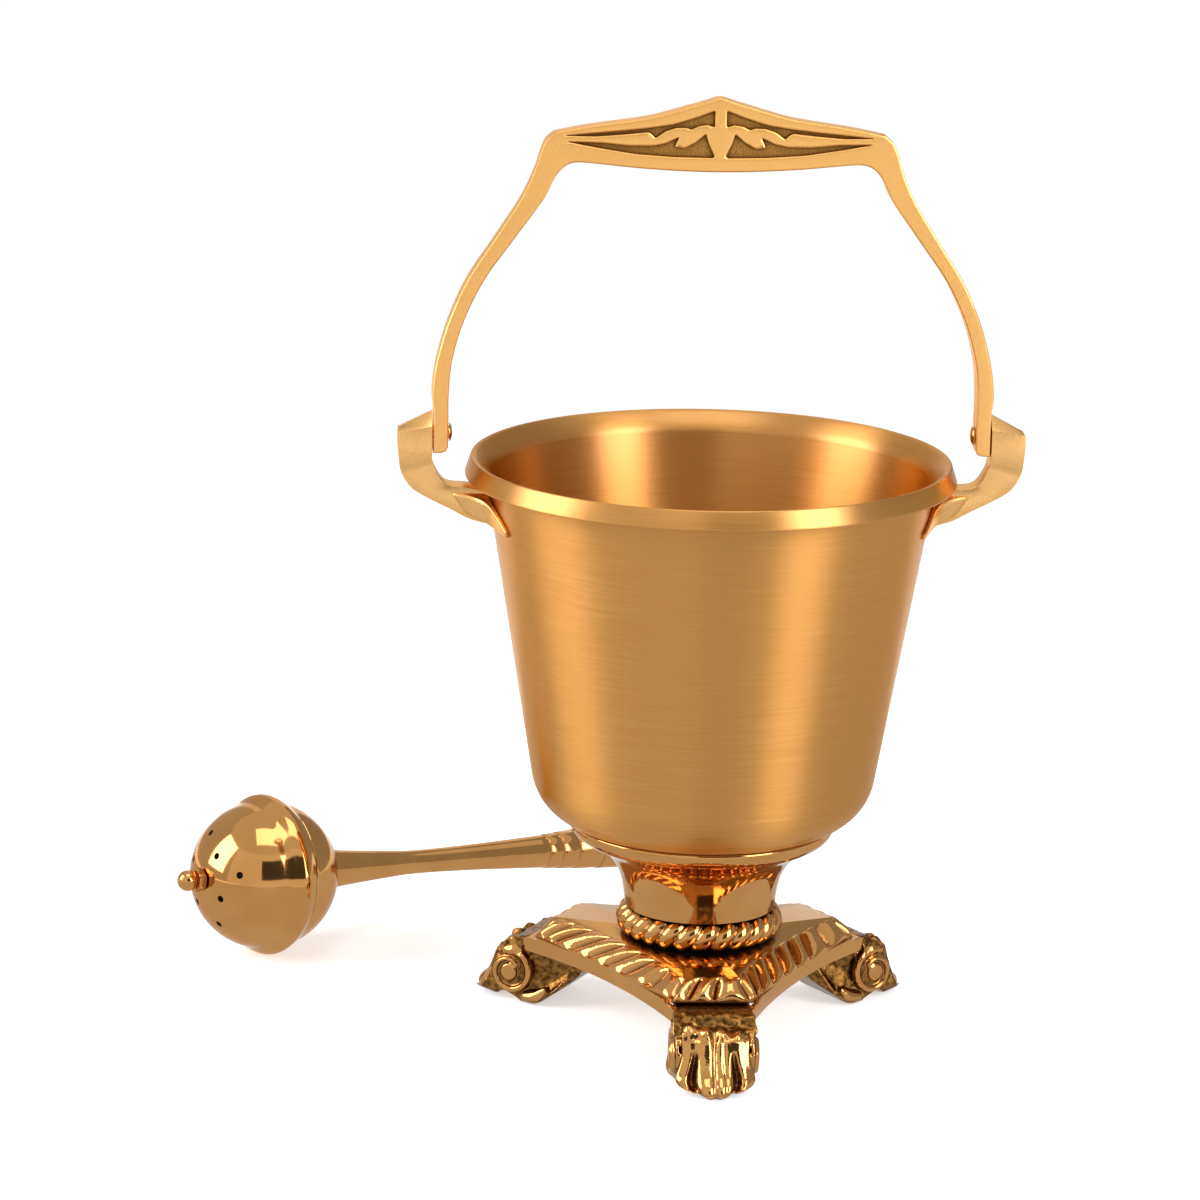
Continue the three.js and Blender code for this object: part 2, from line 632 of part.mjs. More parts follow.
// A saddle that lies on the wall under the rim and swells in the middle to meet the arm.
function saddle() {
  const rings = [];
  const steps = 14;
  const bottom = BOWL_TOP - PAD_DROP;
  const top = bottom + PAD_HEIGHT;
  for (let k = 0; k <= steps; k++) {
    const share = (2 * k) / steps - 1;
    const angle = rad(PAD_HALF_ANGLE * share);
    const thickness = PAD_TIP + (PAD_THICKNESS - PAD_TIP) * (1 - Math.abs(share)) ** 2;
    const lower = wallRadius(bottom) + GAP;
    const upper = wallRadius(top) + GAP;
    const taper = 1.6 * Math.abs(share); // the pad is lower towards its ends
    const section = [
      [lower - 1, bottom],
      [lower + thickness * 0.75, bottom],
      [lower + thickness + 0.3, bottom + 1.6],
      [upper + thickness, top - taper - 1],
      [upper + thickness * 0.7, top - taper],
      [upper - 1, top - taper],
    ];
    rings.push(section.map(([r, z]) => v3(r * Math.cos(angle), r * Math.sin(angle), z)));
  }
  return skin(rings);
}

// Block and arm: sections from the ridge of the block's hipped top down to the wall. Each has an
// inner and an outer place, out from the block's face and up from the pivot, and half a width.
function lugArm() {
  const sections = [
    [0, 7, 10.2, 1.4, 0.2],
    [0, 2.6, 10.4, 0.9, 4.6],
    [0, -4, 10.5, -3.6, 4.7],
    [0, -8.2, 9.7, -8.1, 4.5],
    [-1.7, -12.2, 8.1, -13, 4.1],
    [-3.6, -14.9, 5.6, -16.6, 3.8],
    [-6, -16, 1.1, -19.8, 3.6],
    [-10, -16.3, -5.6, -23.1, 3.6],
    [-13.6, -16.9, -11.4, -26.1, 3.9],
    [-18.4, -17.8, -17, -28, 4.4],
  ];
  return skin(sections.map(([inX, inZ, outX, outZ, half]) => [
    v3(LUG_FACE + inX, -half, PIVOT_HEIGHT + inZ),
    v3(LUG_FACE + outX, -half, PIVOT_HEIGHT + outZ),
    v3(LUG_FACE + outX, half, PIVOT_HEIGHT + outZ),
    v3(LUG_FACE + inX, half, PIVOT_HEIGHT + inZ),
  ]));
}

function lug(side) {
  const below = BOWL_TOP - 2 * PAD_DROP;
  const wall = revolve([
    [0, below],
    [wallRadius(below) + GAP, below],
    [wallRadius(BOWL_TOP) + GAP, BOWL_TOP],
    [0, BOWL_TOP],
  ], 2 * TURNS);
  const socket = crossPin(PIN_RADIUS + GAP, LUG_FACE - 2, LUG_FACE + PIN_SOCKET, PIVOT_HEIGHT);
  const body = solid(lugArm()).add(solid(saddle())).subtract(solid(wall)).subtract(solid(socket));
  return geometryOf(body).rotateZ(side > 0 ? 0 : Math.PI);
}

function pivotPin(side) {
  const headSeat = BAIL_SPAN - BAIL_THICKNESS - GAP;
  const length = LUG_FACE + PIN_SOCKET - GAP - headSeat;
  const dome = [22, 45, 68].map((a) => [
    PIN_HEAD.radius * Math.cos(rad(a)), -PIN_HEAD.height * Math.sin(rad(a))]);
  return revolve([
    [0, length],
    [PIN_RADIUS, length],
    [PIN_RADIUS, 0],
    [PIN_HEAD.radius, 0],
    ...dome,
    [0, -PIN_HEAD.height],
  ], 16).rotateY((side * Math.PI) / 2).translate(side * headSeat, 0, PIVOT_HEIGHT);
}

// Bail

const bailPlace = ([out, up]) => [out * BAIL_SPAN, PIVOT_HEIGHT + up * BAIL_RISE];

// Outline of the right half from the apex's underside round to the apex, mirrored for the left.
function bailOutline() {
  const under = smooth([[0, 0.783], [0.12, 0.785], [0.29, 0.793], [0.46, 0.806], [0.53, 0.809]], 6);
  const inside = BAIL_SPAN - BAIL_THICKNESS;
  const armEnd = inside / BAIL_SPAN;
  const inner = smooth([[0.565, 0.787], [0.586, 0.758], [0.623, 0.696], [0.726, 0.577], [0.824, 0.462],
    [0.896, 0.338], [armEnd - 0.01, 0.218], [armEnd, 0.12], [armEnd, 0.05]], 15);
  const outer = smooth([[1, 0.078], [1.005, 0.13], [0.991, 0.218], [0.95, 0.338], [0.884, 0.462],
    [0.794, 0.577], [0.703, 0.696], [0.656, 0.78], [0.632, 0.842]], 15);
  const top = smooth([[0.587, 0.894], [0.466, 0.915], [0.291, 0.939], [0.152, 0.967], [0.065, 0.993],
    [0, 1]], 8);
  const half = [
    ...under.map(bailPlace),
    ...inner.map(bailPlace),
    [inside, PIVOT_HEIGHT - BAIL_TAIL + 2.6],
    [inside + 0.8, PIVOT_HEIGHT - BAIL_TAIL + 0.8],
    [inside + 2.4, PIVOT_HEIGHT - BAIL_TAIL],
    [BAIL_SPAN, PIVOT_HEIGHT - BAIL_TAIL],
    ...outer.map(bailPlace),
    bailPlace([0.616, 0.873]),
    ...top.map(bailPlace),
  ];
  const mirrored = half.slice(1, -1).reverse().map(([x, z]) => [-x, z]);
  return [...half, ...mirrored];
}

// Front-to-back outline: deep at the pivots, slimmer at the grip.
function bailDepth() {
  const half = [
    [BAIL_DEPTH_END / 2, PIVOT_HEIGHT - BAIL_TAIL - 1],
    [BAIL_DEPTH_END / 2, PIVOT_HEIGHT + 0.2 * BAIL_RISE],
    [BAIL_DEPTH_GRIP / 2, PIVOT_HEIGHT + 0.7 * BAIL_RISE],
    [BAIL_DEPTH_GRIP / 2, PIVOT_HEIGHT + BAIL_RISE + 1],
  ];
  const outline = [...half, ...half.slice().reverse().map(([y, z]) => [-y, z])];
  return plate(outline, 2.4 * BAIL_SPAN).rotateZ(Math.PI / 2);
}

// The sunk panels of the grip's right half, above and below a leaf that stays at the face's level.
const RELIEF_PANELS = [
  [[0.549, 0.879], [0.44, 0.892], [0.331, 0.901], [0.248, 0.911], [0.17, 0.921], [0.117, 0.934],
    [0.08, 0.944], [0.021, 0.963], [0.021, 0.915], [0.048, 0.922], [0.079, 0.918], [0.105, 0.907],
    [0.12, 0.913], [0.159, 0.912], [0.196, 0.902], [0.23, 0.881], [0.242, 0.892], [0.255, 0.899],
    [0.348, 0.89], [0.438, 0.879]],
  [[0.542, 0.87], [0.421, 0.867], [0.322, 0.858], [0.24, 0.858], [0.193, 0.866], [0.146, 0.885],
    [0.162, 0.856], [0.127, 0.852], [0.087, 0.87], [0.052, 0.895], [0.04, 0.864], [0.02, 0.83],
    [0.026, 0.825], [0.167, 0.827], [0.303, 0.835], [0.42, 0.85]],
];

function bail() {
  let body = solid(plate(bailOutline(), BAIL_DEPTH_END + 2)).intersect(solid(bailDepth()));
  for (const side of [-1, 1]) {
    for (const panel of RELIEF_PANELS) {
      const outline = panel.map(bailPlace).map(([x, z]) => [side * x, z]);
      for (const way of [-1, 1]) {
        body = body.subtract(solid(plate(outline, 2 * RELIEF_DEPTH, (way * BAIL_DEPTH_GRIP) / 2)));
      }
    }
    const bore = crossPin(PIN_RADIUS + GAP, side * (BAIL_SPAN - 2 * BAIL_THICKNESS),
      side * (BAIL_SPAN + BAIL_THICKNESS), PIVOT_HEIGHT);
    body = body.subtract(solid(bore));
  }
  return geometryOf(body);
}

// Sprinkler

const headBore = HEAD_RADIUS - HEAD_WALL;
const studHole = STUD_RADIUS + GAP;

// Radius of the head's outside at a place along the axis: a ball with a rounded band round it.
function headRadius(z) {
  const ball = Math.sqrt(Math.max(HEAD_RADIUS ** 2 - z * z, 0));
  const swell = Math.cos((Math.PI / 2) * Math.min(Math.abs(z) / (BAND_HALF + 1.6), 1)) ** 2;
  return ball + (BAND_RADIUS - HEAD_RADIUS) * swell;
}

function sprinklerCap() {
  const ball = [15, 29, 43, 57, 69, 78].map((polar) => -HEAD_RADIUS * Math.cos(rad(polar)));
  const outside = [...ball, -2.6, -0.6, 1.4, 3, BAND_HALF].map((z) => [headRadius(z), z]);
  const inside = arc(0, 0, headBore, 0, -90, 6);
  let body = solid(revolve([[0, -HEAD_RADIUS], ...outside, [headBore, BAND_HALF], ...inside], 32));
  for (const ring of SPRAY_RINGS) {
    for (let k = 0; k < 4; k++) {
      const hole = cylinder(SPRAY_HOLE, HEAD_RADIUS - 4, HEAD_RADIUS + 2, 8)
        .rotateY(Math.PI - rad(ring.polar))
        .rotateZ(rad(ring.turn + 90 * k));
      body = body.subtract(solid(hole));
    }
  }
  const stem = cylinder(FINIAL.stem + GAP, -HEAD_RADIUS - 2, -HEAD_RADIUS + 4, 10);
  return geometryOf(body.subtract(solid(stem)));
}

function sprinklerFinial() {
  const seat = -HEAD_RADIUS - GAP;
  const collarEnd = seat - FINIAL.collarLength;
  const collar = cylinder(FINIAL.collar / Math.sqrt(3), collarEnd, seat, 6);
  const ball = new THREE.SphereGeometry(FINIAL.ball, 16, 10)
    .rotateX(Math.PI / 2)
    .translate(0, 0, collarEnd - 0.7 * FINIAL.ball);
  const stem = cylinder(FINIAL.stem, seat - 1, -headBore, 10);
  return geometryOf(solid(collar).add(solid(ball)).add(solid(stem)));
}

function sprinklerShell() {
  const start = BAND_HALF + GAP;
  const ball = [76, 64, 52, 40, 28, 16].map((polar) => HEAD_RADIUS * Math.cos(rad(polar)));
  const outside = ball.map((z) => [headRadius(z), z]);
  const spigot = Math.sqrt(headBore ** 2 - 4) - 1.5 * GAP;
  const bore = spigot - 1.2;
  const inside = arc(0, 0, bore, 0, 81, 6).reverse();
  return revolveRing([
    [spigot, start - SPIGOT_LENGTH],
    [spigot, start],
    [headRadius(start), start],
    ...outside,
    [studHole, HEAD_RADIUS - 0.6],
    ...inside,
    [bore, start - SPIGOT_LENGTH],
  ], 32);
}

const sprinklerSponge = () => new THREE.SphereGeometry(headBore - 2.2, 16, 10).rotateX(Math.PI / 2);

const sprinklerStud = () => cylinder(STUD_RADIUS, HEAD_RADIUS - 3.4, STUD_END - GAP, 14);

// Handle: it narrows behind the head, swells again and carries three turned grooves.
function sprinklerHandle() {
  const start = HEAD_RADIUS - 0.1;
  const profile = smooth([[6.6, start], [5.8, 32], [4.7, 46], [3.95, 60.5], [4.4, 84.5], [5.45, 110]], 11);
  for (const [place, radius] of [[113, 5.65], [118.3, 6.1], [125, 6.6]]) {
    profile.push([radius, place - 0.5], [radius - 0.35, place], [radius + 0.1, place + 0.5]);
  }
  return revolve([
    [0, STUD_END],
    [studHole, STUD_END],
    [studHole, start],
    ...profile,
    [7.05, GRIP_START - GAP],
    [0, GRIP_START - GAP],
  ], 22);
}

const sprinklerGrip = () => revolve([
  [0, GRIP_START],
  [6.7, GRIP_START],
  [7.3, GRIP_START + 0.8],
  [7.6, GRIP_START + 18],
  [7.3, GRIP_END - 8],
  [6.9, GRIP_END],
  [0, GRIP_END],
], 22);

function sprinklerPommel() {
  const from = GRIP_END + GAP;
  const { radius, place } = POMMEL;
  const dome = [0, 25, 50, 72].map((a) => [
    radius * Math.cos(rad(a)), place + (SPRINKLER_END - place) * Math.sin(rad(a))]);
  return revolve([
    [0, from],
    [0.78 * radius, from],
    [0.94 * radius, (from + place) / 2],
    ...dome,
    [0, SPRINKLER_END],
  ], 24);
}

// The set

function bucket() {
  const group = new THREE.Group();
  group.add(piece("bowl", bowl(), satin()));
  group.add(piece("rim_ring", rimRing(), satin()));
  group.add(piece("pedestal_cup", pedestalCup(), polished()));
  group.add(piece("rope_ring", ropeRing(), polished()));
  group.add(piece("plinth", plinth(), polished()));
  for (const [name, angle] of Object.entries(FOOT_ANGLES)) {
    group.add(piece(`foot_${name}`, foot(angle), polished()));
    group.add(piece(`foot_screw_${name}`, footScrew(angle), steel()));
  }
  group.add(piece("bowl_boss", bowlBoss(), satin()));
  group.add(piece("tie_rod", tieRod(), steel()));
  group.add(piece("base_washer", washer(), steel()));
  group.add(piece("base_nut", nut(), steel()));
  for (const [name, side] of [["left", -1], ["right", 1]]) {
    group.add(piece(`lug_${name}`, lug(side), polished()));
    group.add(piece(`pivot_pin_${name}`, pivotPin(side), polished()));
  }
  group.add(piece("bail", bail(), satin()));
  return group;
}

function sprinkler() {
  const group = new THREE.Group();
  group.add(piece("sprinkler_cap", sprinklerCap(), polished()));
  group.add(piece("sprinkler_finial", sprinklerFinial(), polished()));
  group.add(piece("sprinkler_shell", sprinklerShell(), polished()));
  group.add(piece("sprinkler_sponge", sprinklerSponge(), foam()));
  group.add(piece("sprinkler_stud", sprinklerStud(), steel()));
  group.add(piece("sprinkler_handle", sprinklerHandle(), polished()));
  group.add(piece("sprinkler_grip", sprinklerGrip(), polished()));
  group.add(piece("sprinkler_pommel", sprinklerPommel(), polished()));
  const heading = rad(SPRINKLER_HEADING);
  // It lies on the head's band and on the pommel, so the handle falls towards the pommel.
  const drop = Math.atan((BAND_RADIUS - POMMEL.radius) / POMMEL.place);
  const along = v3(Math.cos(heading) * Math.cos(drop), Math.sin(heading) * Math.cos(drop), -Math.sin(drop));
  group.quaternion.setFromUnitVectors(v3(0, 0, 1), along);
  group.position.set(SPRINKLER_PLACE[0], SPRINKLER_PLACE[1], BAND_RADIUS * Math.cos(drop));
  return group;
}

// The origin is the middle of the set's footprint, on the table.
const set = new THREE.Group();
set.add(bucket(), sprinkler());
const bounds = new THREE.Box3().setFromObject(set, true);
const middle = bounds.getCenter(v3());
set.position.set(-middle.x, -middle.y, -bounds.min.z);

export default set;
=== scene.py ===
# %% [markdown]
# # A holy water bucket and its sprinkler
# The set is brass: a spun bowl on a cast and turned pedestal, a cast bail to carry it by, and a
# sprinkler with a hollow head that lies beside it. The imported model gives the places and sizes.
# Here each piece is built again with enough faces for polished metal, because a mirror shows
# every facet, and then it gets its metal and its light.

import bpy
import json
import math
from mathutils import Matrix, Vector, noise


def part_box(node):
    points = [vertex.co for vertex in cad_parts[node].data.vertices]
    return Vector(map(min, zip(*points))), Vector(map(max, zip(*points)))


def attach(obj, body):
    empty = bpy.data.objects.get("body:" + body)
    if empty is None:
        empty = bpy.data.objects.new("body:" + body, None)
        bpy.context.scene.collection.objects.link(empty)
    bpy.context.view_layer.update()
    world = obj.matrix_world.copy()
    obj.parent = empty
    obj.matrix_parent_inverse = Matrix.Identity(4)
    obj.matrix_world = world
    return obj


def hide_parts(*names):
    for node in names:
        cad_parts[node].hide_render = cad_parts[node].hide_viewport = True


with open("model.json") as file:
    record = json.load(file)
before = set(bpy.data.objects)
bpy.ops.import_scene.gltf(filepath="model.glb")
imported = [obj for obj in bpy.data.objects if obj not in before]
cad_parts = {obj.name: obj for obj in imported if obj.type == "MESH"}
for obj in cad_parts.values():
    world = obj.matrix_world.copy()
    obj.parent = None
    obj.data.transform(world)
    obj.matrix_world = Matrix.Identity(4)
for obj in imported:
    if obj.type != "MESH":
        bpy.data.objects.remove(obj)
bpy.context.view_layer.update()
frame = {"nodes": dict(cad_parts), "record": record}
joints = {joint["name"]: joint for joint in frame["record"]["behaviour"]["joints"]}
print("nodes:", len(frame["nodes"]))

# %% [markdown]
# ## Places
# Lengths are written in millimetres, as a workshop would, and turned into metres when a mesh is
# made. Everything on the bucket is measured from its axis on the table. The sprinkler has an
# axis of its own, from the middle of its head along the handle.

# %% Units and places
MM = 0.001


def middle(node):
    low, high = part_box(node)
    return (Vector(low) + Vector(high)) / 2


def height(node, end):
    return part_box(node)[end][2] / MM


axis = middle("bowl")
bucket_place = Matrix.Translation((axis.x, axis.y, 0))
along = -Vector(joints["cap_unscrew"]["axis"]).normalized()
head_place = middle("sprinkler_sponge")
sprinkler_place = Matrix.Translation(head_place) @ along.to_track_quat("Z", "Y").to_matrix().to_4x4()
pivot_height = joints["bail_swing"]["pos_m"][2] / MM
print("bucket axis", tuple(round(v, 4) for v in axis), "pivot at", round(pivot_height, 1), "mm")

# %% [markdown]
# ## Small tools for outlines
# Most outlines are a few points with a smooth curve through them, so that a size can be changed
# without drawing the piece again. A Catmull-Rom curve passes through every point it is given.

# %% Outline helpers
def smooth(points, steps=8):
    """A smooth curve through the points, with so many steps between each two of them."""
    places = [Vector(p) for p in points]
    made = []
    for k in range(len(places) - 1):
        before = places[max(k - 1, 0)]
        here, there = places[k], places[k + 1]
        after = places[min(k + 2, len(places) - 1)]
        for step in range(steps):
            t = step / steps
            bend = (2 * before - 5 * here + 4 * there - after) * t * t
            turn = (3 * here - before - 3 * there + after) * t**3
            made.append(tuple((2 * here + (there - before) * t + bend + turn) / 2))
    return made + [tuple(places[-1])]


def arc(x, y, radius, start, end, steps=12):
    """Points on an arc, from one angle in degrees to another."""
    angles = [math.radians(start + (end - start) * k / steps) for k in range(steps + 1)]
    return [(x + radius * math.cos(a), y + radius * math.sin(a)) for a in angles]


def rounded(points, radius, steps=4):
    """The closed outline with each of its corners rounded a little."""
    made = []
    for k, point in enumerate(points):
        here = Vector(point)
        back = Vector(points[k - 1]) - here
        ahead = Vector(points[(k + 1) % len(points)]) - here
        reach = min(radius, back.length * 0.45, ahead.length * 0.45)
        start, end = here + back.normalized() * reach, here + ahead.normalized() * reach
        for step in range(steps + 1):
            t = step / steps
            made.append(tuple(start * (1 - t) ** 2 + here * 2 * t * (1 - t) + end * t * t))
    return made


print("a quarter circle has", len(arc(0, 0, 1, 0, 90)), "points")

# %% [markdown]
# ## From points to pieces
# Each mesh is made from plain lists of points and faces. Edges that bend more than a limit stay
# sharp and all others are shaded smooth. Every piece is then attached to the body it moves with,
# and the part of the imported model that it stands for is hidden.

# %% Mesh helpers
made_pieces = {}


def new_object(name, data):
    """An object made of a mesh, curve, lamp or camera, and put in the scene."""
    made = bpy.data.objects.new(name, data)
    bpy.context.scene.collection.objects.link(made)
    return made


def make_mesh(name, points, faces, sharp=32):
    mesh = bpy.data.meshes.new(name)
    mesh.from_pydata([Vector(p) * MM for p in points], [], faces)
    mesh.validate()
    mesh.shade_smooth()
    mesh.set_sharp_from_angle(angle=math.radians(sharp))
    return mesh


def place(name, mesh, matrix, body, nodes, material):
    """Puts a mesh in the scene as a finished piece. Its turn goes into its own copy of the mesh,
    and the object is only moved, so its box fits it closely."""
    own = mesh.copy()
    own.transform(matrix.to_3x3().to_4x4())
    piece = new_object(name, own)
    piece.matrix_world = Matrix.Translation(matrix.translation)
    if not own.materials:
        own.materials.append(material)
    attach(piece, body)
    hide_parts(*nodes)
    made_pieces[name] = piece
    print(name, "has", len(own.polygons), "faces and moves with", body)


def lathe(profile, turns=160, joined=True):
    """Points and faces of a profile of (radius, height) turned about Z.
    A joined profile is a closed ring; any other starts and ends on the axis."""
    points, faces, rows = [], [], []
    for radius, up in profile:
        if radius < 1e-6:
            rows.append([len(points)] * turns)
            points.append((0, 0, up))
            continue
        rows.append(list(range(len(points), len(points) + turns)))
        for k in range(turns):
            angle = 2 * math.pi * k / turns
            points.append((radius * math.cos(angle), radius * math.sin(angle), up))
    spans = len(rows) if joined else len(rows) - 1
    for r in range(spans):
        here, there = rows[r], rows[(r + 1) % len(rows)]
        for k in range(turns):
            n = (k + 1) % turns
            corners = [here[k], here[n], there[n], there[k]]
            face = [c for i, c in enumerate(corners) if c not in corners[:i]]
            if len(face) > 2:
                faces.append(face)
    return points, faces


def loft(rings, joined=False):
    """A skin over equal rings of points, with flat ends unless the last ring joins the first."""
    size = len(rings[0])
    points = [p for ring in rings for p in ring]
    faces = []
    for r in range(len(rings) if joined else len(rings) - 1):
        here, there = r * size, (r + 1) % len(rings) * size
        for k in range(size):
            n = (k + 1) % size
            faces.append((here + k, here + n, there + n, there + k))
    if not joined:
        last = (len(rings) - 1) * size
        faces.append(tuple(reversed(range(size))))
        faces.append(tuple(range(last, last + size)))
    return points, faces


def merged(parts):
    """Several sets of points and faces as one."""
    points, faces = [], []
    for part_points, part_faces in parts:
        start = len(points)
        points += list(part_points)
        faces += [tuple(start + k for k in face) for face in part_faces]
    return points, faces


def through_modifiers(mesh, *settings):
    """The mesh after modifiers, each given as its type and its settings."""
    carrier = new_object("carrier", mesh)
    for kind, values in settings:
        modifier = carrier.modifiers.new(kind.lower(), kind)
        for key, value in values.items():
            setattr(modifier, key, value)
    state = bpy.context.evaluated_depsgraph_get()
    result = bpy.data.meshes.new_from_object(carrier.evaluated_get(state))
    bpy.data.objects.remove(carrier)
    return result


def drill(radius, start, stop, turn, turns):
    """A round drill that reaches from one height to another, turned to its own direction."""
    points, faces = lathe([(0, start), (radius, start), (radius, stop), (0, stop)], turns, False)
    return [tuple(turn @ Vector(p)) for p in points], faces


def drilled(mesh, drills):
    """The mesh with a hole where each of the drills went through it."""
    cutter = new_object("cutter", make_mesh("cutter", *merged(drills)))
    made = through_modifiers(mesh, ("BOOLEAN", {"object": cutter, "operation": "DIFFERENCE",
                                                "solver": "EXACT"}))
    bpy.data.objects.remove(cutter)
    return made


# %% [markdown]
# ## Metals
# Brass for church ware is lacquered after polishing, so it keeps a warm orange gold. The bowl,
# rim and bail are satin: a fine abrasive has been held against the turning work and has left
# rings that smear every reflection up and down. The bail and the lugs are given lighter brass
# than the rest, a painted highlight for the brighter reflections on their flat faces. The base
# and the sprinkler are mirror-polished, and the cast pieces keep darker, rougher metal in their
# grooves: the darkness is partly tarnish that the wheel can't reach and partly painted shade. The
# hollow band above each foot's leaf is left as it came from the mould, brown and pitted, and the
# same dark brown is painted on the feet's flat sides and underside as shade. The floor of the
# bail's relief is punched with small dots so that the satin leaf stands out from it, and is
# painted darker beside its walls as shade.

# %% Node helper and colours
def linear(hex_colour):
    """An sRGB hex colour as linear red, green, blue and alpha."""
    parts = [int(hex_colour[k : k + 2], 16) / 255 for k in (1, 3, 5)]
    return tuple(c / 12.92 if c <= 0.04045 else ((c + 0.055) / 1.055) ** 2.4 for c in parts) + (1.0,)


def give(tree, node, **sockets):
    """Gives each socket a value or another node's output. A socket is named by its words with _
    between them, or by its number after an s."""
    for key, value in sockets.items():
        number = key[1:]
        socket = node.inputs[int(number) if number.isdigit() else key.replace("_", " ")]
        if isinstance(value, bpy.types.NodeSocket):
            tree.links.new(value, socket)
        else:
            socket.default_value = value


def add(tree, kind, settings=None, **sockets):
    """Adds a node with its settings, which are its options, and its sockets, given as above."""
    made = tree.nodes.new(kind)
    for key, value in (settings or {}).items():
        setattr(made, key, value)
    give(tree, made, **sockets)
    return made


def new_material(name):
    material = bpy.data.materials.new(name)
    material.use_nodes = True
    tree = material.node_tree
    return material, tree, tree.nodes["Principled BSDF"]


BRASS = "#CF944C"  # lacquered brass in plain light
BRASS_DEEP = "#C88B43"
BRASS_LIGHT = "#D49A52"
# The dark colour below is mixed into the grooves by occlusion: partly tarnish, partly painted shade.
PATINA_AND_PAINTED_SHADE = "#4E3210"  # old polish and tarnish in the grooves
EDGE_TINT = "#E8BE78"  # brass keeps some of its colour even in a glancing reflection
LACQUER = 0.8  # weight of the clear coat
print("brass in linear light:", tuple(round(c, 3) for c in linear(BRASS)))

# %% Satin brass
LINE_WIDTH = 0.25  # mm between the abrasive's lines


def satin_brass(name, direction, roughness, deep=BRASS_DEEP, light=BRASS_LIGHT):
    """Brushed brass. The direction says how much each axis counts across the lines."""
    material, tree, shader = new_material(name)
    spot = add(tree, "ShaderNodeTexCoord").outputs["Object"]
    stretched = add(tree, "ShaderNodeMapping", s3=direction, Vector=spot).outputs[0]
    lines = add(tree, "ShaderNodeTexNoise", Vector=stretched, Scale=1 / (LINE_WIDTH * MM), Detail=3.0)
    tone = add(tree, "ShaderNodeValToRGB", s0=lines.outputs[0])
    tone.color_ramp.elements[0].color = linear(deep)
    tone.color_ramp.elements[0].position = 0.3
    tone.color_ramp.elements[1].color = linear(light)
    tone.color_ramp.elements[1].position = 0.7
    rough = add(tree, "ShaderNodeMapRange", s0=lines.outputs[0], s1=0.3, s2=0.7,
                s3=roughness - 0.04, s4=roughness + 0.04)
    bump = add(tree, "ShaderNodeBump", Height=lines.outputs[0], Strength=0.1, Distance=0.02 * MM)
    give(tree, shader, Base_Color=tone.outputs[0], Roughness=rough.outputs[0], Normal=bump.outputs[0],
         Metallic=1.0, Specular_Tint=linear(EDGE_TINT), Coat_Weight=0.5, Coat_Roughness=0.25)
    return material, tree, shader


def spun_brass():
    """Satin brass with its lines round the piece, so that highlights run up and down it."""
    material, tree, shader = satin_brass("brass_satin_spun", (0.012, 0.012, 1.0), 0.4)
    tangent = add(tree, "ShaderNodeTangent", {"direction_type": "RADIAL", "axis": "Z"})
    give(tree, shader, Tangent=tangent.outputs[0], Anisotropic=0.9, Anisotropic_Rotation=0.25)
    return material


spun = spun_brass()
# Painted highlight: the bail and the lugs get lighter brass than the rest, for the brighter reflections on
# their flat faces.
brushed = satin_brass("brass_satin_bail_painted_light", (1.0, 0.15, 0.15), 0.4, "#F1B462", "#F9BF6E")[0]
filed = satin_brass("brass_filed_lug_painted_light", (0.3, 1.0, 0.3), 0.3, "#EAB26A", "#F2BD76")[0]
print("satin brass:", spun.name, brushed.name)

# %% Polished brass
def polished_brass(name, groove=0.0, waviness=0.0, rough=0.045):
    """Mirror-polished brass. Groove is the depth in mm of the recesses that are painted dark, partly as
    tarnish and partly as painted shade, and waviness is how far, in mm, the casting's skin rolls."""
    material, tree, shader = new_material(name)
    spot = add(tree, "ShaderNodeTexCoord").outputs["Object"]
    clouds = add(tree, "ShaderNodeTexNoise", Vector=spot, Scale=1 / (14 * MM), Detail=3.0)
    smears = add(tree, "ShaderNodeMapRange", s0=clouds.outputs[0], s1=0.35, s2=0.7,
                 s3=rough * 0.8, s4=rough * 1.6)
    tone = add(tree, "ShaderNodeValToRGB", s0=clouds.outputs[0])
    tone.color_ramp.elements[0].color = linear(BRASS_DEEP)
    tone.color_ramp.elements[0].position = 0.35
    tone.color_ramp.elements[1].color = linear(BRASS)
    tone.color_ramp.elements[1].position = 0.65
    colour, roughness = tone.outputs[0], smears.outputs[0]
    if groove:
        # Painted shade: occlusion darkens the grooves, where light finds it hard to get in, and tarnish
        # stays there too, where the polishing wheel can't reach.
        shade = add(tree, "ShaderNodeAmbientOcclusion", {"samples": 6}, Distance=groove * MM)
        open_to_light_and_wheel = add(tree, "ShaderNodeMapRange", s0=shade.outputs["AO"], s1=0.35, s2=0.9)
        mixed = add(tree, "ShaderNodeMix", {"data_type": "RGBA"}, s0=open_to_light_and_wheel.outputs[0],
                    s6=linear(PATINA_AND_PAINTED_SHADE), s7=colour)
        colour = mixed.outputs[2]
        dulled = add(tree, "ShaderNodeMapRange", s0=open_to_light_and_wheel.outputs[0], s3=0.4, s4=rough)
        roughness = dulled.outputs[0]
    if waviness:
        rolls = add(tree, "ShaderNodeTexNoise", Vector=spot, Scale=1 / (2.6 * MM), Detail=2.0)
        bump = add(tree, "ShaderNodeBump", Height=rolls.outputs[0], Distance=waviness * MM, Strength=1.0)
        give(tree, shader, Normal=bump.outputs[0])
    give(tree, shader, Base_Color=colour, Roughness=roughness, Metallic=1.0,
         Specular_Tint=linear(EDGE_TINT), Coat_Weight=LACQUER, Coat_Roughness=rough)
    return material


turned = polished_brass("brass_polished_turned", rough=0.07)
cast = polished_brass("brass_polished_cast", groove=3.2, waviness=0.12, rough=0.09)
print("polished brass:", turned.name, cast.name)


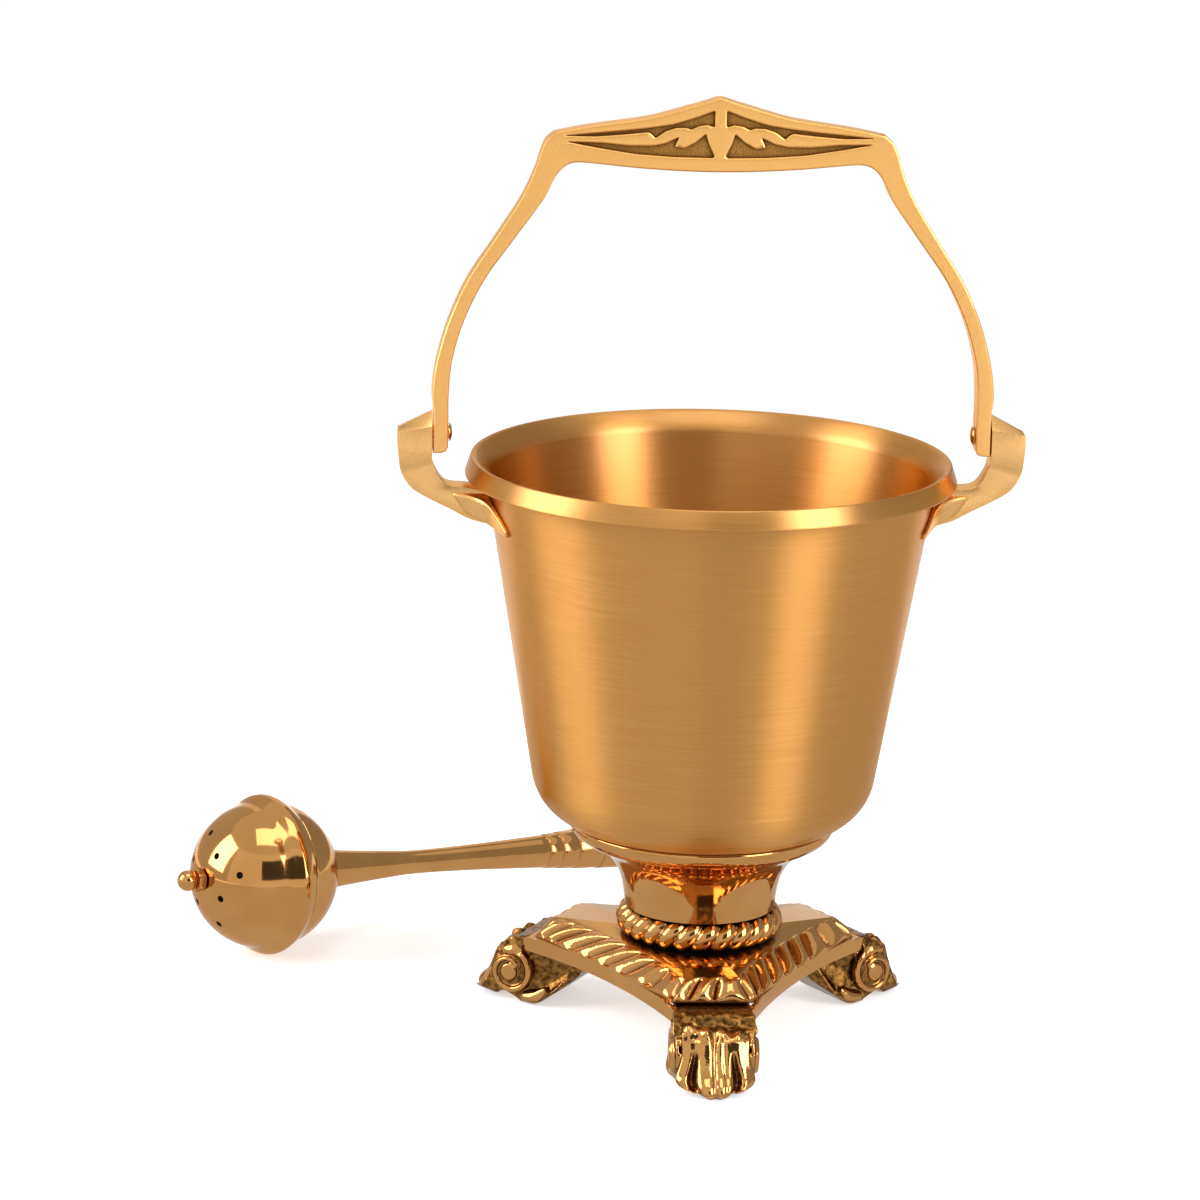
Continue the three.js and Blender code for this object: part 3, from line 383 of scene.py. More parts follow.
# %% Stippled brass
def stippled_brass():
    """The sunk floor of the relief: punched all over with a round point, left dark, and painted darker
    beside its walls as shade.
    """
    material, tree, shader = new_material("brass_stippled_dark")
    spot = add(tree, "ShaderNodeTexCoord").outputs["Object"]
    dots = add(tree, "ShaderNodeTexVoronoi", Vector=spot, Scale=1 / (0.45 * MM))
    tone = add(tree, "ShaderNodeValToRGB", s0=dots.outputs["Distance"])
    tone.color_ramp.elements[0].color = linear("#84571F")
    tone.color_ramp.elements[1].color = linear("#C48F4C")
    # Painted shade: beside the walls the floor is darkened by occlusion.
    wall_shade = add(tree, "ShaderNodeAmbientOcclusion", {"samples": 6}, Distance=2.4 * MM)
    away = add(tree, "ShaderNodeMapRange", s0=wall_shade.outputs["AO"], s1=0.6, s2=0.92)
    mixed = add(tree, "ShaderNodeMix", {"data_type": "RGBA"}, s0=away.outputs[0],
                s6=linear("#573812"), s7=tone.outputs[0])
    bump = add(tree, "ShaderNodeBump", Height=dots.outputs["Distance"], Distance=0.12 * MM, Strength=0.8)
    give(tree, shader, Base_Color=mixed.outputs[2], Normal=bump.outputs[0], Metallic=1.0, Roughness=0.38)
    return material


def cast_skin_and_shade_brass():
    """Brass as it left the mould, brown and pitted. The same dark brown is also painted on the feet's flat
    sides and underside as shade.
    """
    material, tree, shader = new_material("brass_as_cast_and_painted_shade")
    spot = add(tree, "ShaderNodeTexCoord").outputs["Object"]
    pits = add(tree, "ShaderNodeTexNoise", Vector=spot, Scale=1 / (1.6 * MM), Detail=4.0)
    tone = add(tree, "ShaderNodeValToRGB", s0=pits.outputs[0])
    tone.color_ramp.elements[0].color = linear("#4C3113")
    tone.color_ramp.elements[0].position = 0.35
    tone.color_ramp.elements[1].color = linear("#A4733A")
    tone.color_ramp.elements[1].position = 0.68
    bump = add(tree, "ShaderNodeBump", Height=pits.outputs[0], Distance=0.15 * MM, Strength=0.9)
    give(tree, shader, Base_Color=tone.outputs[0], Normal=bump.outputs[0], Metallic=1.0, Roughness=0.32)
    return material


stippled = stippled_brass()
coarse = cast_skin_and_shade_brass()


def bored_brass():
    """Brass inside the head and on the walls of the spray holes: dark brown and dull."""
    material, tree, shader = new_material("brass_dull_inside")
    spot = add(tree, "ShaderNodeTexCoord").outputs["Object"]
    stains = add(tree, "ShaderNodeTexNoise", Vector=spot, Scale=1 / (3 * MM), Detail=4.0)
    tone = add(tree, "ShaderNodeValToRGB", s0=stains.outputs[0])
    tone.color_ramp.elements[0].color = linear("#2E1C0A")
    tone.color_ramp.elements[1].color = linear("#5A3A18")
    give(tree, shader, Base_Color=tone.outputs[0], Metallic=1.0, Roughness=0.6)
    return material


bored = bored_brass()


# %% Steel and sponge
def turned_steel():
    """Plain turned steel with a dry grey skin: the rod and fasteners that are never seen."""
    material, tree, shader = new_material("steel_turned")
    spot = add(tree, "ShaderNodeTexCoord").outputs["Object"]
    marks = add(tree, "ShaderNodeTexNoise", Vector=spot, Scale=1 / (0.8 * MM), Detail=4.0)
    tone = add(tree, "ShaderNodeValToRGB", s0=marks.outputs[0])
    tone.color_ramp.elements[0].color = linear("#77726A")
    tone.color_ramp.elements[1].color = linear("#A9A49A")
    rough = add(tree, "ShaderNodeMapRange", s0=marks.outputs[0], s3=0.3, s4=0.5)
    give(tree, shader, Base_Color=tone.outputs[0], Roughness=rough.outputs[0], Metallic=1.0)
    return material


def sponge_foam():
    """Open-cell sponge: pores of about a millimetre, darker inside."""
    material, tree, shader = new_material("sponge_open_cell")
    spot = add(tree, "ShaderNodeTexCoord").outputs["Object"]
    pores = add(tree, "ShaderNodeTexVoronoi", Vector=spot, Scale=1 / (1.6 * MM))
    tone = add(tree, "ShaderNodeValToRGB", s0=pores.outputs["Distance"])
    tone.color_ramp.elements[0].color = linear("#8F7A4C")
    tone.color_ramp.elements[1].color = linear("#E0CE9C")
    tone.color_ramp.elements[1].position = 0.5
    bump = add(tree, "ShaderNodeBump", Height=pores.outputs["Distance"], Distance=0.8 * MM, Strength=1.0)
    give(tree, shader, Base_Color=tone.outputs[0], Normal=bump.outputs[0], Roughness=0.95)
    return material


steel = turned_steel()
foam = sponge_foam()
print("materials made:", len(bpy.data.materials))

# %% [markdown]
# ## Bowl and rim
# The bowl is spun from sheet on a lathe, so its shape is one profile turned about its axis: a
# flat floor, a round knuckle and a straight wall. The rim is a heavier turned ring with a plain
# ledge outside and a mouth that flares.

# %% Bowl
WALL = 1.5
KNUCKLE = 18
TAPER = 0.168  # radius lost for each millimetre down
floor_under = height("bowl", 0)
wall_top = height("bowl", 1)
wall_radius = 69.4
lean = math.degrees(math.atan(TAPER))
knuckle_up = floor_under + KNUCKLE
knuckle_out = wall_radius - (wall_top - knuckle_up) * TAPER - KNUCKLE * math.hypot(1, TAPER)


def bowl_profile(inset):
    knuckle = arc(knuckle_out, knuckle_up, KNUCKLE - inset, -90, -lean, 20)
    top = wall_radius - inset * math.hypot(1, TAPER)
    low = knuckle[-1]
    wall = [(low[0] + (top - low[0]) * t / 6, low[1] + (wall_top - low[1]) * t / 6) for t in range(1, 7)]
    return [(0, floor_under + inset), *knuckle, *wall]


bowl_mesh = make_mesh("bowl", *lathe(bowl_profile(0) + bowl_profile(WALL)[::-1], 256, False))
place("bowl_spun", bowl_mesh, bucket_place, "bucket", ["bowl"], spun)

# %% Rim
RIM_RADIUS = 76
RIM_LEAN = 2
rim_foot, rim_ridge = height("rim_ring", 0), height("rim_ring", 1)
bore = wall_radius - WALL
mouth = RIM_RADIUS - RIM_LEAN - 1
seam = rim_foot - 0.29  # the ring is brazed on, so no gap shows
flare = [(bore + (mouth - bore) * (0.77 * (1 - t / 16) ** 1.8 + 0.23 * (1 - t / 16)),
          rim_ridge - (rim_ridge - seam) * t / 16) for t in range(1, 16)]
ledge = rounded([(bore, rim_foot), (RIM_RADIUS, rim_foot), (RIM_RADIUS - RIM_LEAN, rim_ridge),
                 (mouth, rim_ridge - 0.1)], 0.9, 5)[5:18]
rim_profile = [(bore, seam), (wall_radius, seam), (wall_radius, rim_foot), *ledge, *flare]
place("rim_turned", make_mesh("rim", *lathe(rim_profile, 256)), bucket_place, "bucket",
      ["rim_ring"], spun)

# %% [markdown]
# ## Pedestal
# The bowl sits in a turned cup whose lip follows the knuckle. Below it the neck narrows and
# runs into the rope ring, which looks like a twisted cord and is really one casting. Each strand
# is a rounded ridge, and it climbs round the ring's section as it goes along.

# %% Cup and neck
GAP = 0.3  # clearance between two pieces that fit together
ROD = 3  # radius of the tie rod
CUP_SEAT = 5.6  # how far the lip reaches out past the middle of the bowl's knuckle
CUP_FLOOR, CUP_HOLLOW = 4, 12  # thickness of the floor over the plinth, and radius of the hollow on it
rod_bore = ROD + GAP
ROPE_RADIUS, ROPE_THICKNESS = 21.3, 9.8
plinth_top = height("plinth", 1)
rope_up = plinth_top + GAP + ROPE_THICKNESS / 2
cup_lip = knuckle_out + CUP_SEAT
cup_top = knuckle_up - math.sqrt(KNUCKLE**2 - CUP_SEAT**2) - GAP
seat = ROPE_THICKNESS / 2 + GAP
seat_arc = arc(ROPE_RADIUS, rope_up, seat, 64, 180, 16)
neck_out, neck_up = seat_arc[0]


def cup_point(out, up):
    """A place on the cup, as shares of the way from the neck's foot to the lip."""
    return neck_out + (cup_lip - neck_out) * out, neck_up + (cup_top - neck_up) * up


cup_outside = smooth([cup_point(*p) for p in (
    (0.985, 1), (1.004, 0.985), (1.005, 0.95), (0.96, 0.88), (0.83, 0.807), (0.6, 0.735),
    (0.4, 0.647), (0.24, 0.531), (0.125, 0.4), (0.06, 0.269), (0.025, 0.138), (0, 0))], 8)
cup_mouth = 0.8 * knuckle_out
cup_inside = [(seat_arc[-1][0], plinth_top + GAP), (rod_bore, plinth_top + GAP),
              (rod_bore, plinth_top + CUP_FLOOR), (CUP_HOLLOW, plinth_top + CUP_FLOOR),
              (CUP_HOLLOW, cup_point(0, 0.3)[1]), (16.5, cup_point(0, 0.55)[1]),
              (cup_mouth, cup_point(0, 0.78)[1]), (cup_mouth, floor_under - GAP)]
under_bowl = [p for p in bowl_profile(-GAP) if cup_mouth < p[0] < cup_lip - 1]
cup_profile = cup_outside + seat_arc[1:] + cup_inside + under_bowl
place("pedestal_cup_turned", make_mesh("cup", *lathe(cup_profile, 224)), bucket_place, "bucket",
      ["pedestal_cup"], turned)

# %% Rope ring
ROPE_STRANDS, ROPE_TWIST = 26, 2
ROPE_GROOVE = 1.5


def rope_rings(samples=ROPE_STRANDS * 16, around=40):
    for s in range(samples):
        turn = 2 * math.pi * s / samples
        ring = []
        for k in range(around):
            section = 2 * math.pi * k / around
            phase = (ROPE_STRANDS * turn - ROPE_TWIST * section) / 2
            radius = ROPE_THICKNESS / 2 - ROPE_GROOVE * (1 - abs(math.sin(phase)) ** 0.55)
            out = ROPE_RADIUS + radius * math.cos(section)
            ring.append((out * math.cos(turn), out * math.sin(turn), rope_up + radius * math.sin(section)))
        yield ring


rope_mesh = make_mesh("rope", *loft(list(rope_rings()), True), sharp=80)
place("rope_ring_cast", rope_mesh, bucket_place, "bucket", ["rope_ring"], cast)
print("pieces so far:", len(made_pieces))

# %% [markdown]
# ## Plinth
# The plinth is a triangle with cut corners. Its flat top is polished, and a border of slanted
# lobes, called gadroons, runs down from its edge. Each lobe is pointed at the top and full at
# the bottom. A plain strip hangs under each long side. The border is one skin: rings of points
# go round the outline while the height falls, and each lobe pushes its points outwards.

# %% Outline of the plinth
RIDGE = {"end": 46, "half": 8.8, "sag": 3.6}
EDGE = {"end": 51.2, "half": 12.4, "sag": 1}
BORDER_DROP = 6.5
PLATE = 3.5  # thickness of the flat top
LOBES = {True: 8, False: 3}  # on a long side, and on a cut corner
LOBE_STEPS = 14
LOBE_HEIGHT = 2.6
LOBE_SLANT = 1.05
CORNERS = (-90, 30, 150)
edge_up = plinth_top - BORDER_DROP


def turned_by(x, y, degrees):
    c, s = math.cos(math.radians(degrees)), math.sin(math.radians(degrees))
    return x * c - y * s, x * s + y * c


def outline_place(line, corner, is_side, share):
    """A place on a closed line round the plinth, on the cut corner or on the side after it."""
    end, half = line["end"], line["half"]
    start = Vector(turned_by(end, half if is_side else -half, corner))
    stop = Vector(turned_by(end, -half if is_side else half, corner + (120 if is_side else 0)))
    run = stop - start
    outward = Vector((run.y, -run.x)).normalized()
    bow = 4 * share * (1 - share) * line["sag"] if is_side else 0
    return start.lerp(stop, share) - outward * bow


def border_ring(down, up, swell):
    """One ring round the border: down is 0 on the ridge and 1 on the lower edge."""
    ring = []
    for corner in CORNERS:
        for is_side in (False, True):
            steps = LOBES[is_side] * LOBE_STEPS
            for k in range(steps):
                share = k / steps
                room = min(1, 4 * share, 4 * (1 - share))
                slant = LOBE_SLANT * max(down, 0) ** 0.7 * (1 if is_side else 0.4) / LOBES[is_side]
                slid = share - room * slant
                inner = outline_place(RIDGE, corner, is_side, slid)
                outer = outline_place(EDGE, corner, is_side, slid)
                across = abs(math.sin(math.pi * k / LOBE_STEPS)) ** 0.75
                raised = swell * LOBE_HEIGHT * (across - 0.6)
                outward = (outer - inner).normalized()
                spot = inner.lerp(outer, down) + outward * 0.7 * raised
                ring.append((spot.x, spot.y, up + 0.7 * raised))
    return ring


print("points round the border:", len(border_ring(0, plinth_top, 0)))


# %% Plinth body
def plinth_rings():
    plate_under = plinth_top - PLATE

    def hole(up):
        return [(rod_bore * x / math.hypot(x, y), rod_bore * y / math.hypot(x, y), up)
                for x, y, z in border_ring(0, up, 0)]

    yield hole(plinth_top)
    yield [(x * 0.994, y * 0.994, up) for x, y, up in border_ring(0, plinth_top, 0)]
    yield border_ring(0, plinth_top - 0.12, 0)
    for down, swell in ((0.04, 0.2), (0.09, 0.45), (0.16, 0.68), (0.26, 0.84), (0.38, 0.94), (0.52, 1),
                        (0.66, 1), (0.78, 0.97), (0.87, 0.84), (0.93, 0.55), (0.97, 0.28)):
        yield border_ring(down, plinth_top - (BORDER_DROP - 1) * down, swell)
    yield border_ring(1, edge_up + 0.9, 0)
    yield border_ring(1.005, edge_up + 0.45, 0)
    yield border_ring(1, edge_up, 0)
    yield border_ring(0.5, edge_up, 0)
    yield border_ring(-0.15, plate_under, 0)
    yield hole(plate_under)


plinth_mesh = make_mesh("plinth", *loft(list(plinth_rings()), True), sharp=50)
place("plinth_cast", plinth_mesh, bucket_place, "bucket", ["plinth"], cast)

# %% Strips under the long sides
APRON_MIDDLE, APRON_BOW, APRON_HALF = 35, 3.6, 42.3
APRON_THICKNESS, APRON_HEIGHT, APRON_ARCH, APRON_ROUND = 1.8, 4.1, 0.9, 2.6


def apron_strip(facing):
    rings = []
    for k in range(61):
        share = math.sin((k / 60 - 0.5) * math.pi)
        reach = max(0, (abs(share) * APRON_HALF - (APRON_HALF - APRON_ROUND)) / APRON_ROUND)
        rounding = APRON_ROUND * (1 - math.sqrt(max(0, 1 - reach * reach)))
        face = APRON_MIDDLE + APRON_BOW * share**2
        top = edge_up + (0.4 if abs(share) * APRON_HALF < 35.9 else -0.3) - 0.6 * rounding
        foot = edge_up - APRON_HEIGHT - APRON_ARCH * share**2 + 0.7 * rounding
        back = face - APRON_THICKNESS
        section = rounded([(face, top), (face, foot), (back, foot), (back, top)], 0.35, 2)
        rings.append([(*turned_by(out, share * APRON_HALF, facing), up) for out, up in section])
    return loft(rings)


strips = make_mesh("strips", *merged([apron_strip(facing) for facing in (-30, 90, 210)]), sharp=50)
place("plinth_strips", strips, bucket_place, "bucket", ["plinth"], turned)

# %% [markdown]
# ## Feet
# Each foot is cast as one piece: a tang that is screwed up under the plinth, a scroll that rolls
# forward and down, a leaf with four lobes on its back, and a spiral on either side. The parts
# are lofted one by one and then fused by a voxel remesh, which melts the joins between them the
# way a wax model and a mould do. The foot is worked out pointing along +X. Its faces then get
# one of two skins, polished or the dark brown as-cast one, by where they lie and which way they
# look. On the band above the leaf that brown is the rough cast skin; on the flat sides and the
# underside it is painted shade.

# %% Foot: body
FOOT_HEIGHT = edge_up
FOOT_HALF = 12
TANG_HALF = 6.4


def foot_at(out, up):
    """A place beyond the border's edge, with its height as a share of the foot's."""
    return EDGE["end"] + out, FOOT_HEIGHT * up


def half_width(out):
    """The foot narrows from its heel to the tail that runs in under the plinth."""
    t = min(max((out + 12) / 6, 0), 1)
    return TANG_HALF + (FOOT_HALF - TANG_HALF) * t * t * (3 - 2 * t)


TAIL = smooth([foot_at(*p) for p in ((5.4, 0.004), (1.8, 0.004), (-1.4, 0.04), (-4.8, 0.15),
                                     (-8.6, 0.28), (-12, 0.42), (-14, 0.6), (-13.8, 0.8))], 6)
print("foot:", round(FOOT_HEIGHT, 1), "mm tall, and its tail has", len(TAIL), "points")


def foot_body():
    back = smooth([foot_at(*p) for p in ((4.6, 0.965), (7.4, 0.9), (9.4, 0.75), (11.6, 0.55),
                                         (13.4, 0.34), (13.8, 0.2))], 5)
    under = smooth([foot_at(*p) for p in ((12.4, 0.13), (9.8, 0.1), (6.8, 0.045))], 4)
    tang = [(37.2, edge_up + 2.4), (45, edge_up + 2.4), (46.4, edge_up - 0.4)]
    outline = [*tang, *back, *under, *TAIL]
    centre = Vector((52, 12))
    rings = []
    for share, inset in ((-1, 0.8), (-0.93, 0), (-0.5, 0), (0, 0), (0.5, 0), (0.93, 0), (1, 0.8)):
        shrunk = [Vector(p) + (centre - Vector(p)).normalized() * inset for p in outline]
        rings.append([(p.x, share * half_width(p.x - EDGE["end"]), p.y) for p in shrunk])
    return loft(rings)


# %% Foot: shoulder and leaf
def level_slices(levels, across, dent, rise):
    """Level slices that bulge forward. Each is (share of the height, back, front, half width,
    crown); crown draws the front back at the slice's sides. Dent and rise shape the face."""
    rings = []
    for up, back, front, half, crown in levels:
        ring = []
        for k in range(across + 1):
            v = 2 * k / across - 1
            ring.append((EDGE["end"] + front - crown * v * v - dent(v, up), half * v,
                         FOOT_HEIGHT * (up + rise(v, up))))
        ring.append((EDGE["end"] + back, half, FOOT_HEIGHT * up))
        ring.append((EDGE["end"] + back, -half, FOOT_HEIGHT * up))
        rings.append(ring)
    return loft(rings)


SHOULDER = smooth([(0.6, 5.6, 13, 10.8, 1.4), (0.68, 5.4, 12.4, 12.2, 0.4), (0.76, 4.4, 11.8, 13.5, -1.2),
                   (0.85, 3.8, 10.2, 13.3, -1.4), (0.93, 3.6, 8.4, 12.6, -1),
                   (0.975, 3.4, 6.2, 11.8, -0.4)], 3)
LEAF = smooth([(0.003, 16, 24.4, 7, 1.6), (0.03, 15.2, 25.6, 8, 2.4), (0.065, 14.4, 26, 10.8, 6),
               (0.11, 12.6, 25.9, 11.7, 7), (0.18, 10.3, 24.9, 12.2, 6.4), (0.26, 7.8, 22.9, 11.9, 5),
               (0.37, 6.8, 20.8, 11, 3.4), (0.5, 6.8, 19, 10.3, 2.4), (0.64, 6.8, 17.4, 10.3, 1.8),
               (0.74, 6.8, 16.2, 10.6, 1.6), (0.79, 6.8, 14.6, 10.6, 1.6), (0.81, 6.8, 12, 10.2, 1.6)], 4)
SPLIT = -0.04  # where across the leaf its middle groove runs
NOTCH = 0.57  # how far to either side the outer toes part from the inner ones


def furrow(away, width, power):
    """1 in the middle of a furrow, and falling to 0 away from it."""
    return math.exp(-((abs(away) / width) ** power))


def leaf_dent(v, up):
    """How far the leaf's face lies back where its toes part, in its groove and in its veins."""
    parting = max(1 - up / 0.55, 0)
    notch = 6 * parting**0.5 * furrow(abs(v - SPLIT) - NOTCH, 0.05 + 0.07 * parting, 1.5)
    groove = 1.6 * furrow(v - SPLIT, 0.08, 1.1)
    vein = 0.8 * furrow(v - 0.25, 0.07, 1.2) + 0.7 * furrow(v + 0.62, 0.1, 1.2) * up
    return notch + groove + vein


def leaf_rise(v, up):
    """The leaf's upper rim is scalloped: each lobe rises between the grooves."""
    rim = min(max((up - 0.55) / 0.2, 0), 1)
    outer_toe = min(max((abs(v - SPLIT) - NOTCH) / 0.06, 0), 1) * max(1 - up / 0.25, 0)
    return rim * (0.07 * abs(math.cos(2.1 * math.pi * (v - SPLIT - 0.25))) - 0.05 * v) + 0.07 * outer_toe


def plain(v, up):
    """The shoulder's face has no dents and no scallops."""
    return 0


# %% Foot: scrolls
VOLUTE_PLACE, VOLUTE_RADIUS, VOLUTE_RISE = (9, 0.443), 7.5, 1.9


def disc(radius, low, high, turns=48):
    """A disc that lies across Y, drawn in a little at its upper edge."""
    rings = []
    for y, share in ((low, 1), (high - 0.4, 1), (high, 0.86)):
        circle = arc(0, 0, radius * share, 0, 360, turns)[:-1]
        rings.append([(x, y, z) for x, z in circle])
    return loft(rings)


def volute(side):
    """A raised spiral that winds in from the foot's shoulder to a round boss."""
    base = FOOT_HALF - 1
    rings = []
    for k in range(81):
        share = k / 80
        angle = math.radians(95 + 410 * share)
        radius = VOLUTE_RADIUS * (1 - 0.52 * share)
        half = 1.15 - 0.45 * share
        top = FOOT_HALF + VOLUTE_RISE * (0.75 + 0.15 * share)
        section = [(-half, base), (half, base), (half * 0.9, top - 0.5), (half * 0.4, top),
                   (-half * 0.4, top), (-half * 0.9, top - 0.5)]
        rings.append([((radius + more) * math.cos(angle), y, (radius + more) * math.sin(angle))
                      for more, y in section])
    out, up = foot_at(*VOLUTE_PLACE)
    made = []
    for points, faces in (loft(rings), disc(VOLUTE_RADIUS - 0.6, base, FOOT_HALF + 0.35),
                          disc(2.8, base, FOOT_HALF + VOLUTE_RISE)):
        made.append(([(x + out, side * y, z + up) for x, y, z in points], faces))
    return made


# %% Foot: one casting
VOXEL = 0.34


def heel_roll(side):
    """A rolled edge along the heel, like the turned-over rim of a leaf."""
    rings = []
    wide = [k for k, (x, z) in enumerate(TAIL) if k > 1 and x > EDGE["end"] - 6]
    for k in wide:
        x, z = TAIL[k]
        share = (k - wide[0]) / (len(wide) - 1)
        ahead, behind = TAIL[k + 1], TAIL[k - 1]
        slope = math.atan2(ahead[1] - behind[1], ahead[0] - behind[0]) - math.pi / 2
        inward = Vector((math.cos(slope), math.sin(slope))) * 2.2
        radius = 2.2 * math.sin(math.pi * (0.15 + 0.75 * share)) ** 0.5
        y = side * (half_width(x - EDGE["end"]) - 0.4)
        middle_x, middle_z = x + inward.x, z + inward.y
        rings.append([(middle_x + radius * math.cos(slope) * math.cos(a), y + radius * math.sin(a),
                       middle_z + radius * math.sin(slope) * math.cos(a))
                      for a in (2 * math.pi * n / 16 for n in range(16))])
    return loft(rings)


def on_foot(spot):
    """How far a place in mm lies out from the border, and its height as a share of the foot's."""
    return spot.x - EDGE["end"], spot.z / FOOT_HEIGHT


def crumpled(mesh):
    """Roughens the band above the leaf, which the casting leaves coarse."""
    outward = [vertex.normal.copy() for vertex in mesh.vertices]
    for vertex, normal in zip(mesh.vertices, outward):
        spot = vertex.co / MM
        out, up = on_foot(spot)
        band = min(max((up - 0.66) / 0.06, 0), 1) * min(max((0.99 - up) / 0.05, 0), 1)
        if out > 3.5 and band > 0:
            roll = noise.noise(spot / 3.4) + 0.25 * noise.noise(spot / 1.6)
            hollow = math.sin(math.pi * min(max((up - 0.68) / 0.3, 0), 1))
            vertex.co += normal * band * (0.8 * roll - 0.8 * hollow) * MM
    return mesh


def with_cast_skin_and_painted_shade(mesh):
    """Gives the band above the leaf its coarse cast skin, and paints the flat sides and the underside with
    the same dark brown as painted shade.
    """
    mesh.materials.append(cast)
    mesh.materials.append(coarse)
    for face in mesh.polygons:
        spot = face.center / MM
        out, up = on_foot(spot)
        band = 3.5 < out < 13 and up > 0.7 and abs(spot.y) < FOOT_HALF + 0.5
        # Painted shade: the flat sides and the underside get the dark as-cast brown because they lie in
        # shade.
        side = abs(face.normal.y) > 0.75 and abs(spot.y) < FOOT_HALF + 0.5
        under = out < 1 and (face.normal.z < -0.5 or face.normal.x < -0.5)
        face.material_index = 1 if band or side or under else 0
    return mesh


def foot_mesh():
    parts = [foot_body(), level_slices(SHOULDER, 24, plain, plain),
             level_slices(LEAF, 96, leaf_dent, leaf_rise)]
    parts += volute(-1) + volute(1) + [heel_roll(-1), heel_roll(1)]
    rough = make_mesh("foot_parts", *merged(parts))
    fused = through_modifiers(
        rough,
        ("REMESH", {"mode": "VOXEL", "voxel_size": VOXEL * MM, "use_smooth_shade": True}),
        ("SMOOTH", {"factor": 0.5, "iterations": 6}),
    )
    return with_cast_skin_and_painted_shade(crumpled(fused))


foot = foot_mesh()
lowest = min(v.co.z for v in foot.vertices)
for vertex in foot.vertices:
    vertex.co.z = max(vertex.co.z, 0)
for name, degrees in (("front", -90), ("left", 150), ("right", 30)):
    turn = bucket_place @ Matrix.Rotation(math.radians(degrees), 4, "Z")
    place(f"foot_{name}_cast", foot, turn, "bucket", [f"foot_{name}"], cast)
print("the foot's lowest point was", round(lowest / MM, 2), "mm above the table")

# %% [markdown]
# ## Hidden fasteners
# A threaded rod runs from a boss under the bowl down through neck, ring and plinth, and a nut
# on a washer pulls the stack together. Screws hold the feet. From below these can be seen, so
# they get their threads, chamfers and slots.

# %% Threads
def threaded(radius, low, high, pitch=1.0, depth=0.35):
    """A rod's profile with a groove at each pitch, and a chamfer at both ends."""
    profile = [(0, low), (radius - depth, low), (radius, low + depth)]
    count = int((high - low - 2 * depth) / pitch)
    for k in range(count):
        up = low + depth + pitch * (k + 0.5)
        profile += [(radius, up - 0.15 * pitch), (radius - depth, up + 0.2 * pitch)]
    return profile + [(radius, high - depth), (radius - depth, high), (0, high)]


def hexagon(radius, low, high, bore_radius, chamfer=0.5):
    """A hexagonal prism with a bore and chamfered corners, one of them along Y."""
    turns = 48
    rings = []
    for out, up in ((1 - chamfer / radius, low), (1, low + chamfer), (1, high - chamfer),
                    (1 - chamfer / radius, high)):
        ring = []
        for k in range(turns):
            angle = 2 * math.pi * k / turns
            from_flat = (angle + math.pi / 6) % (math.pi / 3) - math.pi / 6
            flat = math.cos(math.pi / 6) / math.cos(from_flat)
            reach = min(radius * flat, radius * out)
            ring.append((reach * math.cos(angle), reach * math.sin(angle), up))
        rings.append(ring)
    for up in (high, low):
        rings.append([(bore_radius * math.cos(2 * math.pi * k / turns),
                       bore_radius * math.sin(2 * math.pi * k / turns), up) for k in range(turns)])
    return loft(rings, True)


# %% Rod, nut, washer and boss
BOSS = 12.6
rod_low, rod_high = height("tie_rod", 0), height("tie_rod", 1)
place("tie_rod_threaded", make_mesh("rod", *lathe(threaded(ROD, rod_low, rod_high), 32, False)),
      bucket_place, "bucket", ["tie_rod"], steel)
nut_low, nut_high = height("base_nut", 0), height("base_nut", 1)
place("base_nut_hexagon", make_mesh("nut", *hexagon(1.9 * ROD, nut_low, nut_high, rod_bore)),
      bucket_place, "bucket", ["base_nut"], steel)
washer_low, washer_high = height("base_washer", 0), height("base_washer", 1)
washer_profile = rounded([(rod_bore, washer_low), (3.6 * ROD, washer_low), (3.6 * ROD, washer_high),
                          (rod_bore, washer_high)], 0.3, 2)
place("base_washer_stamped", make_mesh("washer", *lathe(washer_profile, 64)),
      bucket_place, "bucket", ["base_washer"], steel)
boss_low, boss_high = height("bowl_boss", 0), height("bowl_boss", 1)
boss_profile = [(0, boss_high), (BOSS, boss_high), (BOSS - 0.4, boss_low + 1), (BOSS - 1.2, boss_low),
                (rod_bore, boss_low), (rod_bore, rod_high + GAP), (0, rod_high + GAP)]
place("bowl_boss_turned", make_mesh("boss", *lathe(boss_profile, 64, False)),
      bucket_place, "bucket", ["bowl_boss"], spun)


# %% Foot screws
SCREW, SCREW_HEAD, SCREW_HEAD_HEIGHT, SCREW_DOME = 2, 3.4, 2.4, 1.1
SLOT_HALF, SLOT_DEPTH = 0.45, 0.9


def screw_mesh(low, high):
    """A screw with a domed head at its lower end. The dome's points near the middle line are
    pushed in, which makes the slot."""
    dome = [(SCREW_HEAD * math.sin(math.radians(a)), low + SCREW_DOME * (1 - math.cos(math.radians(a))))
            for a in (25, 50, 72, 90)]
    seat_up = low + SCREW_HEAD_HEIGHT
    shank = threaded(SCREW, seat_up, high, 0.8, 0.3)[2:]
    points, faces = lathe([(0, low), *dome, (SCREW_HEAD, seat_up), (SCREW, seat_up), *shank], 32, False)
    slot_up = low + SLOT_DEPTH
    points = [(x, y, slot_up) if abs(y) < SLOT_HALF and z < slot_up else (x, y, z) for x, y, z in points]
    return make_mesh("screw", points, faces)


for name in ("front", "left", "right"):
    node = f"foot_screw_{name}"
    spot = middle(node)
    place(f"{node}_slotted", screw_mesh(height(node, 0), height(node, 1)),
          Matrix.Translation((spot.x, spot.y, 0)), "bucket", [node], steel)

